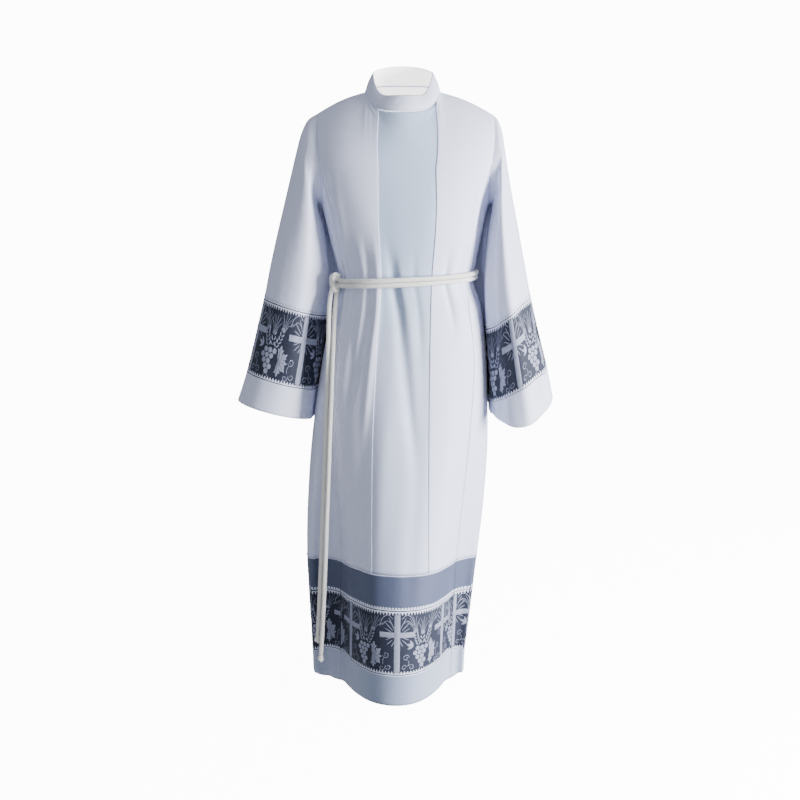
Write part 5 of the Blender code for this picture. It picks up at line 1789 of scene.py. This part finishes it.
class LaceOrnament:
    """One repeat of the lace: a cross with short rays, then grapes, two ears of wheat and a leaf."""

    def __init__(self, sizes: LaceSizes) -> None:
        """Keeps the sizes and starts a drawing."""
        self.sizes = sizes
        self.pen = Drawing()

    def template(self) -> bpy.types.Mesh:
        """Draws one repeat, and gives its mesh."""
        self._wheat()
        self._grapes()
        self._leaf()
        self._cross()
        self._rays()
        self._curls()
        self._edges()
        return self.pen.mesh("lace_repeat")

    def _cross(self) -> None:
        """A plain cross."""
        z, pen = self.sizes, self.pen
        pen.stroke(((0, z.cross_foot), (0, z.cross_top)), z.bar, rise=0.7, steps=30, groove=0.12)
        for side in (-1, 1):
            ends = ((side * z.bar * 0.46, z.arms_y), (side * z.arm_reach, z.arms_y))
            pen.stroke(ends, z.bar * 0.93, rise=0.7, steps=10, groove=0.12)

    def _rays(self) -> None:
        """Short rays in the four corners of the cross, under two bent lines."""
        pen, y = self.pen, self.sizes.arms_y
        rays = ((28, 15, 33), (46, 15, 41), (64, 16, 45), (-24, 15, 29), (-44, 15, 33), (-64, 16, 30))
        for side in (-1, 1):
            for turn, start, end in rays:
                ends = (polar(0, y, reach, turn) for reach in (start, end))
                pen.stroke(tuple((side * x, high) for x, high in ends), 1.9, taper(0.5, 0.5), steps=5)
            outer = ((side * 10, y + 38), (side * 22, y + 47), (side * 35, y + 38), (side * 41, y + 20))
            inner = ((side * 12, y + 26), (side * 24, y + 33), (side * 36, y + 22))
            pen.stroke(outer, 1.7, steps=12)
            pen.stroke(inner, 1.6, steps=8)

    def _ear(self, foot: tuple, tip: tuple, bend: float, pairs: int = 5) -> None:
        """An ear of wheat on a bent stem, with long beards.

        Args:
            foot: where its grains begin.
            tip: where they end.
            bend: how far its middle bows to the left.
            pairs: how many pairs of grains it has.
        """
        pen, foot, tip = self.pen, np.array(foot, dtype=float), np.array(tip, dtype=float)
        way = (tip - foot) / np.linalg.norm(tip - foot)
        side = np.array((-way[1], way[0]))
        for i in range(pairs):
            u = i / (pairs - 1)
            at = foot + (tip - foot) * u + side * bend * math.sin(math.pi * u)
            for hand in (-1, 1):
                out = at + side * hand * 6.2 * (1 - 0.2 * u) + way * 8.8
                start = at + side * hand * 0.9
                grain = (start, (start + out) / 2 + side * hand * 0.9, out)
                pen.stroke(grain, 3.7, lens, rise=0.85, steps=5)
        pen.stroke((tip + way * 2, tip + way * 12), 3.8, lens, rise=0.85, steps=4)
        for spread, reach in ((-12, 26), (-6.5, 34), (-1.0, 38), (5.0, 35), (11.0, 27)):
            start = tip + way * 5 + side * spread * 0.35
            middle = start + way * reach * 0.55 + side * spread * 0.30
            stop = start + way * reach + side * spread * 1.15
            stop[1] = min(stop[1], self.sizes.beard_top)
            pen.stroke((start, middle, stop), 1.2, taper(1.0, 0.6), steps=8)

    def _wheat(self) -> None:
        """Ears that rise from behind the grapes and lean apart."""
        x = self.sizes.spray_x
        self._ear((x - 13, 68), (x - 20, 97), 1.5)
        self._ear((x + 7, 68), (x + 19, 99), -2.0)
        self._ear((x - 3, 70), (x - 2, 90), 0.0, pairs=3)

    def _grapes(self) -> None:
        """A bunch of grapes, each apart from the next."""
        x = self.sizes.spray_x
        for y, places in (
            (60, (-16, -4, 8)), (49.5, (-22.5, -10.5, 1.5)), (39, (-16.5, -4.5)), (28.5, (-10.5, 1.0)),
            (18.5, (-5,)),
        ):
            for off in places:
                self.pen.bead(x + off, y, 5.5, rise=1.1)
        for foot, bend, tip in ((-8, -9.5, -12), (-2, 1.0, 3.5)):
            self.pen.stroke(((x + foot, 14), (x + bend, 10), (x + tip, 7)), 1.5, steps=3)

    def _leaf(self) -> None:
        """A tall vine leaf with five toothed lobes and dark veins, and a small one beside the grapes."""
        x, y = self.sizes.spray_x + 22, 42
        lobes = ((86, 33, 13), (42, 27, 12), (0, 22, 12), (-42, 25, 12), (-88, 29, 11))
        for turn, reach, width in lobes:
            ends = (polar(x, y, -2, turn), polar(x, y, reach, turn))
            self.pen.stroke(ends, width, lens, rise=0.7, steps=7)
            for hand in (-1, 1):
                foot = polar(x, y, 0.45 * reach, turn)
                tip = polar(*foot, 0.40 * reach, turn + hand * 38)
                self.pen.stroke((foot, tip), 5.5, lens, rise=0.65, steps=4)
        for turn, reach, _ in lobes:
            ends = (polar(x, y, 2, turn), polar(x, y, 0.78 * reach, turn))
            self.pen.stroke(ends, 2.2, taper(0.7, 0.4), rise=0.95, steps=4, slot=1)
        small = (self.sizes.spray_x - 27, 66)
        for turn, reach, width in ((118, 17, 7), (158, 18, 8), (200, 15, 7)):
            self.pen.stroke((small, polar(*small, reach, turn)), width, lens, rise=0.6, steps=5)

    def _spiral(self, x: float, y: float, size: float, start: float, turns: float) -> None:
        """A curl that winds in on itself."""
        points = []
        for i in range(9):
            u = i / 8
            a = math.radians(start) + u * math.tau * turns
            reach = size * (1 - 0.72 * u)
            points.append((x + reach * math.cos(a), y + reach * math.sin(a)))
        self.pen.stroke(tuple(points), 1.5, taper(0.7, 0.7), steps=18)

    def _curls(self) -> None:
        """Tendrils beside the foot of the cross."""
        x = self.sizes.spray_x
        for off, y, size, start, turns in (
            (54, 47, 8.0, 200, 1.2), (45, 15, 7.0, 20, -1.1), (60, 19, 7.5, 160, 1.1),
            (-44, 40, 8.0, 0, 1.2), (-32, 17, 7.5, 150, -1.1), (-48, 17, 6.5, 20, 1.0),
        ):
            self._spiral(x + off, y, size, start, turns)
        for stem in (((48, 24), (47, 32), (50, 40)), ((-40, 20), (-37, 28), (-40, 34))):
            self.pen.stroke(tuple((x + off, y) for off, y in stem), 1.3, steps=5)

    def _edges(self) -> None:
        """A line of small holes along each edge, between rows of points."""
        z, pen = self.sizes, self.pen
        left, right, bound = -z.repeat / 2, z.repeat / 2, z.height + z.binding
        pen.stroke(((left, bound), (right, bound)), 4.6, rise=0.25, steps=34, slot=3)
        for y, width in ((z.height - 2.4, 3.0), (z.height + 2.4, 3.0), (2.2, 2.6), (-2.0, 2.2)):
            pen.stroke(((left, y), (right, y)), width, rise=0.55, steps=34, slot=2)
        count = round(z.repeat / z.picot)
        for i in range(count):
            x = left + (i + 0.5) * z.repeat / count
            for y, tip in ((z.height - 3.6, -6.8), (3.3, 5.6)):
                pen.stroke(((x, y), (x, y + tip)), z.picot * 0.9, wedge, rise=0.5, steps=2, slot=2)
            pen.bead(x, bound, z.picot * 0.36, rise=0.6, slot=2)
        count = round(z.repeat / z.hole)
        for i in range(count):
            x = left + (i + 0.5) * z.repeat / count
            for y in (z.height, 0.0):
                pen.stroke(((x - 1.25, y), (x + 1.25, y)), 2.8, rise=0.62, steps=1, slot=1)
        for x in (-5, 0, 5):
            pen.bead(x, z.cross_top - 0.5, 1.25, rise=0.85, slot=1)
            if x:
                pen.bead(x, z.cross_foot + 3.5, 1.2, rise=0.85, slot=1)


@dataclass
class LaceWork:
    """Lays the ornament on the lace bands."""

    form: Form
    wardrobe: Wardrobe
    sizes: LaceSizes = field(default_factory=LaceSizes)
    marks: int = 241  # places at which the length of a band is measured
    trim: float = 0.8  # mm left bare at each end of a band

    def __post_init__(self) -> None:
        """Draws one repeat, and takes its materials in the order of their slots."""
        self.repeat = LaceOrnament(self.sizes).template()
        yarns = [self.wardrobe.yarn(finish) for finish in (EMBROIDERY, SEAM_CLOTH)]
        nets = self.wardrobe.net(LACE_NET, LACE_THREAD), self.wardrobe.net(SHEER_NET, SHEER_THREAD)
        self.materials = (yarns[0], nets[0], yarns[1], nets[1])

    def lay(
        self, name: str, place: Place, width: float, phase: float, joined_round: bool = False
    ) -> bpy.types.Object:
        """Repeats the ornament along a band, cuts it at the band's ends and lays it on.

        Args:
            name: the new piece's name.
            place: gives points from distances along and up the band, and heights off it, in metres.
            width: the length of the band in metres.
            phase: the distance of the first cross from the band's start, in metres.
            joined_round: True where the band's ends meet, so that nothing is cut.

        Returns:
            The new piece.
        """
        width, phase, step = width * 1000, phase * 1000, self.sizes.repeat
        scale = 1.0
        if joined_round:
            count = max(round(width / step), 1)
            scale = width / (count * step)
            shifts = [phase / scale + step * i for i in range(count)]
        else:
            first = math.floor((-phase - step) / step)
            shifts = [phase + step * i for i in range(first, math.ceil((width - phase) / step) + 2)]
        bm = bmesh.new()
        for shift in shifts:
            old = len(bm.verts)
            bm.from_mesh(self.repeat)
            bm.verts.ensure_lookup_table()
            for vertex in bm.verts[old:]:
                vertex.co.x = (vertex.co.x + shift) * scale
        if not joined_round:
            for edge, way in ((self.trim, -1), (width - self.trim, 1)):
                parts, at = [*bm.verts, *bm.edges, *bm.faces], (edge, 0, 0)
                bmesh.ops.bisect_plane(bm, geom=parts, plane_co=at, plane_no=(way, 0, 0), clear_outer=True)
        mesh = mesh_of(bm, name)
        flat = pulled(mesh.vertices, "co") / 1000
        mesh.vertices.foreach_set("co", place(flat[:, 0], flat[:, 1], flat[:, 2] + CLOTH * 0.35).ravel())
        lay_flat(mesh, flat[:, :2])
        mesh.update()
        mesh.shade_smooth()
        item = linked(name, mesh)
        settle(item, slot=Finish.LACE, materials=self.materials)
        return item

    def skirt(self, name: str, seams: tuple, phase: float) -> bpy.types.Object:
        """Lays the ornament on one length of the skirt's lace.

        Args:
            name: the new piece's name.
            seams: functions that give the angle of the first and the last seam at a height.
            phase: the distance of a cross from the first seam.
        """
        shares = np.linspace(0.0, 1.0, self.marks)
        middle = np.full_like(shares, (LACE_TOP_Z + LACE_FOOT_Z) / 2)
        start, stop = seams[0](middle), seams[1](middle)
        along = lengths(self.form.laid(start + (stop - start) * shares, middle))
        long = LACE_TOP_Z - LACE_FOOT_Z

        def place(s: Array, t: Array, lift: Array) -> Array:
            """Points of the band."""
            z = LACE_FOOT_Z + t / (self.sizes.height / 1000) * long
            share = np.interp(s, along, shares)
            first, last = seams[0](z), seams[1](z)
            return self.form.laid(first + (last - first) * share, z, lift)

        return self.lay(name, place, float(along[-1]), phase)

    def sleeve(self, name: str, sleeve: SleeveForm, centre: float) -> bpy.types.Object:
        """Lays the ornament all round a sleeve.

        Args:
            name: the new piece's name.
            sleeve: its surface.
            centre: the turn at which a cross stands.
        """
        turns = np.linspace(0.0, 360.0, self.marks) * -sleeve.side
        middle = (LACE_ROW + CUFF_ROW) / 2
        along = lengths(sleeve.laid(turns, np.full_like(turns, middle)))
        span = CUFF_ROW - LACE_ROW

        def place(s: Array, t: Array, lift: Array) -> Array:
            """Points of the sleeve's lace."""
            turn = np.interp(s % along[-1], along, turns)
            return sleeve.laid(turn, CUFF_ROW - t / (self.sizes.height / 1000) * span, lift)

        at = float(np.interp((centre * -sleeve.side) % 360.0, np.linspace(0.0, 360.0, self.marks), along))
        return self.lay(name, place, float(along[-1]), at, joined_round=True)


# ---- the scene


class Light(NamedTuple):
    """A soft panel of light, with its power in watts."""

    name: str
    place: tuple
    aim: tuple
    size: tuple
    power: float
    colour: tuple


LIGHTS = table(
    Light,  # name, place, aim, size, power, colour
    ("key", (3.1, -1.7, -0.35), (0.0, 0.0, -0.85), (1.2, 1.6), 530.0, (1.0, 1.0, 1.0)),
    ("fill", (0.6, -3.2, 0.9), (0.0, 0.0, -0.7), (1.6, 1.6), 16.0, (0.95, 0.97, 1.0)),
)


@dataclass
class Studio:
    """The camera, the soft light and the plain floor."""

    camera_place: tuple = (-0.009, -2.8, -0.185)
    camera_turn: tuple = (math.radians(79.3), 0.0, 0.0)
    lens: float = 55.26
    sensor: float = 36.0
    far: float = 60.0
    floor_z: float = -1.42
    floor: tuple = (9.0, -5.0, 14.0)  # half its width, where it starts, and its length with the wall
    wall_y: float = 4.0
    bend: float = 2.0  # the radius between the floor and the wall
    sky: tuple = (0.88, 0.93, 1.0)
    sky_strength: float = 0.53
    white: tuple = (0.95, 0.95, 0.95)
    glow: float = 12.0  # makes the floor and the wall plain white

    def _light(self, light: Light) -> None:
        """Puts up one soft panel of light."""
        data = bpy.data.lights.new(light.name, "AREA")
        data.shape, (data.size, data.size_y) = "RECTANGLE", light.size
        data.energy, data.color = light.power, light.colour
        item = linked(light.name, data)
        item.location = light.place
        item.rotation_euler = (Vector(light.aim) - Vector(light.place)).to_track_quat("-Z", "Y").to_euler()

    def build(self) -> None:
        """Builds the studio."""
        data = bpy.data.cameras.new("camera")
        data.sensor_width, data.lens, data.clip_end = self.sensor, self.lens, self.far
        camera = linked("camera", data)
        camera.location, camera.rotation_euler = self.camera_place, self.camera_turn
        world = bpy.data.worlds.new("studio")
        world.use_nodes = True
        sky = world.node_tree.nodes["Background"]
        Tree(world.node_tree).fill(sky, {"Color": self.sky, "Strength": self.sky_strength})
        bpy.context.scene.camera, bpy.context.scene.world = camera, world
        for light in LIGHTS:
            self._light(light)
        self._sweep()

    def _sweep(self) -> None:
        """A white floor that curves up behind into a wall."""
        bm = bmesh.new()
        bmesh.ops.create_grid(bm, x_segments=1, y_segments=40, size=1.0)
        mesh = mesh_of(bm, "sweep")
        half, near, long = self.floor
        for vertex in mesh.vertices:
            x, run = vertex.co.x, (vertex.co.y + 1) / 2 * long + near
            past = max(run - self.wall_y, 0.0)
            turn = min(past / self.bend, math.pi / 2)
            up = self.bend * (1 - math.cos(turn)) + max(past - math.pi, 0.0)
            vertex.co = (x * half, min(run, self.wall_y) + self.bend * math.sin(turn), self.floor_z + up)
        mesh.shade_smooth()
        material = bpy.data.materials.new("white floor")
        material.use_nodes = True
        finish = {
            "Base Color": self.white, "Roughness": 0.9, "Emission Color": (1.0, 1.0, 1.0),
            "Emission Strength": self.glow,
        }
        Tree(material.node_tree).fill(material.node_tree.nodes["Principled BSDF"], finish)
        mesh.materials.append(material)
        floor = linked("sweep", mesh)
        floor.visible_diffuse = floor.visible_glossy = False


CROSS_TURN = {-1: 118.0, 1: 92.0}  # where a cross of the lace stands, round the right and the left sleeve


@dataclass
class Robe:
    """The whole robe: its cloth, its bands, its sleeves and its collar."""

    form: Form
    wardrobe: Wardrobe

    def __post_init__(self) -> None:
        """Takes the materials that several pieces share."""
        self.tailor = Tailor(self.form)
        self.lace = LaceWork(self.form, self.wardrobe)
        self.white = self.wardrobe.cloth(WHITE_CLOTH)
        self.sheer = self.wardrobe.net(SHEER_NET, SHEER_THREAD)
        self.net = self.wardrobe.net(LACE_NET, LACE_THREAD)

    def build(self) -> None:
        """Builds every piece of cloth, from the front round to the collar."""
        plain, finish = PlainPanels(self.tailor), self.tailor.finish
        finish(FrontPanel(self.tailor).build(), "front_panel", Finish.CLOTH, (self.white,))
        back = plain.back()
        # The back's inside takes the collar's inside finish, with its painted light
        back.modifiers["thickness"].material_offset = 1
        finish(back, "back_panel", Finish.CLOTH, (self.white, self.wardrobe.cloth(INNER_CLOTH)))
        for side, hand in HANDS.items():
            finish(plain.side(side), f"side_panel_{hand}", Finish.CLOTH, (self.white,))
        for length in BAND_LENGTHS:
            self._bands(plain, length)
        for side, hand in HANDS.items():
            self._sleeve(side, hand)
        Collar(self.form, self.wardrobe).build()

    def _bands(self, plain: PlainPanels, length: BandLength) -> None:
        """Builds one length of the sheer band, the lace and the hem, with their trim."""
        seams = length.seams(self.form)
        for kind, top, foot, rows, slot, material in (
            ("sheer", SHEER_TOP_Z, LACE_TOP_Z, 14, Finish.SHEER, self.sheer),
            ("lace", LACE_TOP_Z, LACE_FOOT_Z, 24, Finish.LACE, self.net),
            ("hem", LACE_FOOT_Z, HEM_Z, 12, Finish.CLOTH, self.wardrobe.cloth(HEM_CLOTH)),
        ):
            node, trim = f"{kind}_band_{length.place}", ()
            item = plain.band(node, seams, top, foot, length.columns, rows)
            if kind == "lace":
                trim = (self.lace.skirt(f"{node}_ornament", seams, length.cross_at),)
            elif kind == "sheer":
                deep, lift = SEWN_EDGE
                edge = plain.band(f"{node}_edging", seams, top, top - deep, length.columns, 1, lift)
                settle(edge, slot=slot, materials=(self.wardrobe.yarn(SEAM_CLOTH),))
                trim = (edge,)
            self.tailor.finish(item, node, slot, (material,), trim)

    def _sleeve(self, side: int, hand: str) -> None:
        """Builds one sleeve: the upper, its lace and its cuff."""
        surface, sewer = SleeveForm(self.form, side), Sleeves(self.tailor)
        for node, start, end, slot, material in (
            (f"sleeve_{hand}", 0, LACE_ROW, Finish.CLOTH, self.white),
            (f"sleeve_lace_{hand}", LACE_ROW, CUFF_ROW, Finish.LACE, self.net),
            (f"cuff_{hand}", CUFF_ROW, HEM_ROW, Finish.CLOTH, self.white),
        ):
            item, trim = sewer.build(surface, node, start, end), ()
            if start == LACE_ROW:
                trim = (self.lace.sleeve(f"{node}_ornament", surface, CROSS_TURN[side]),)
            self.tailor.finish(item, node, slot, (material,), trim)


def main() -> None:
    """Builds the robe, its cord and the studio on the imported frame."""
    logging.basicConfig(level=logging.INFO, format="%(message)s")
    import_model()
    form, wardrobe = Form(), Wardrobe()
    Studio().build()
    Cincture(form, wardrobe).build()
    Robe(form, wardrobe).build()


if __name__ == "__main__":
    main()
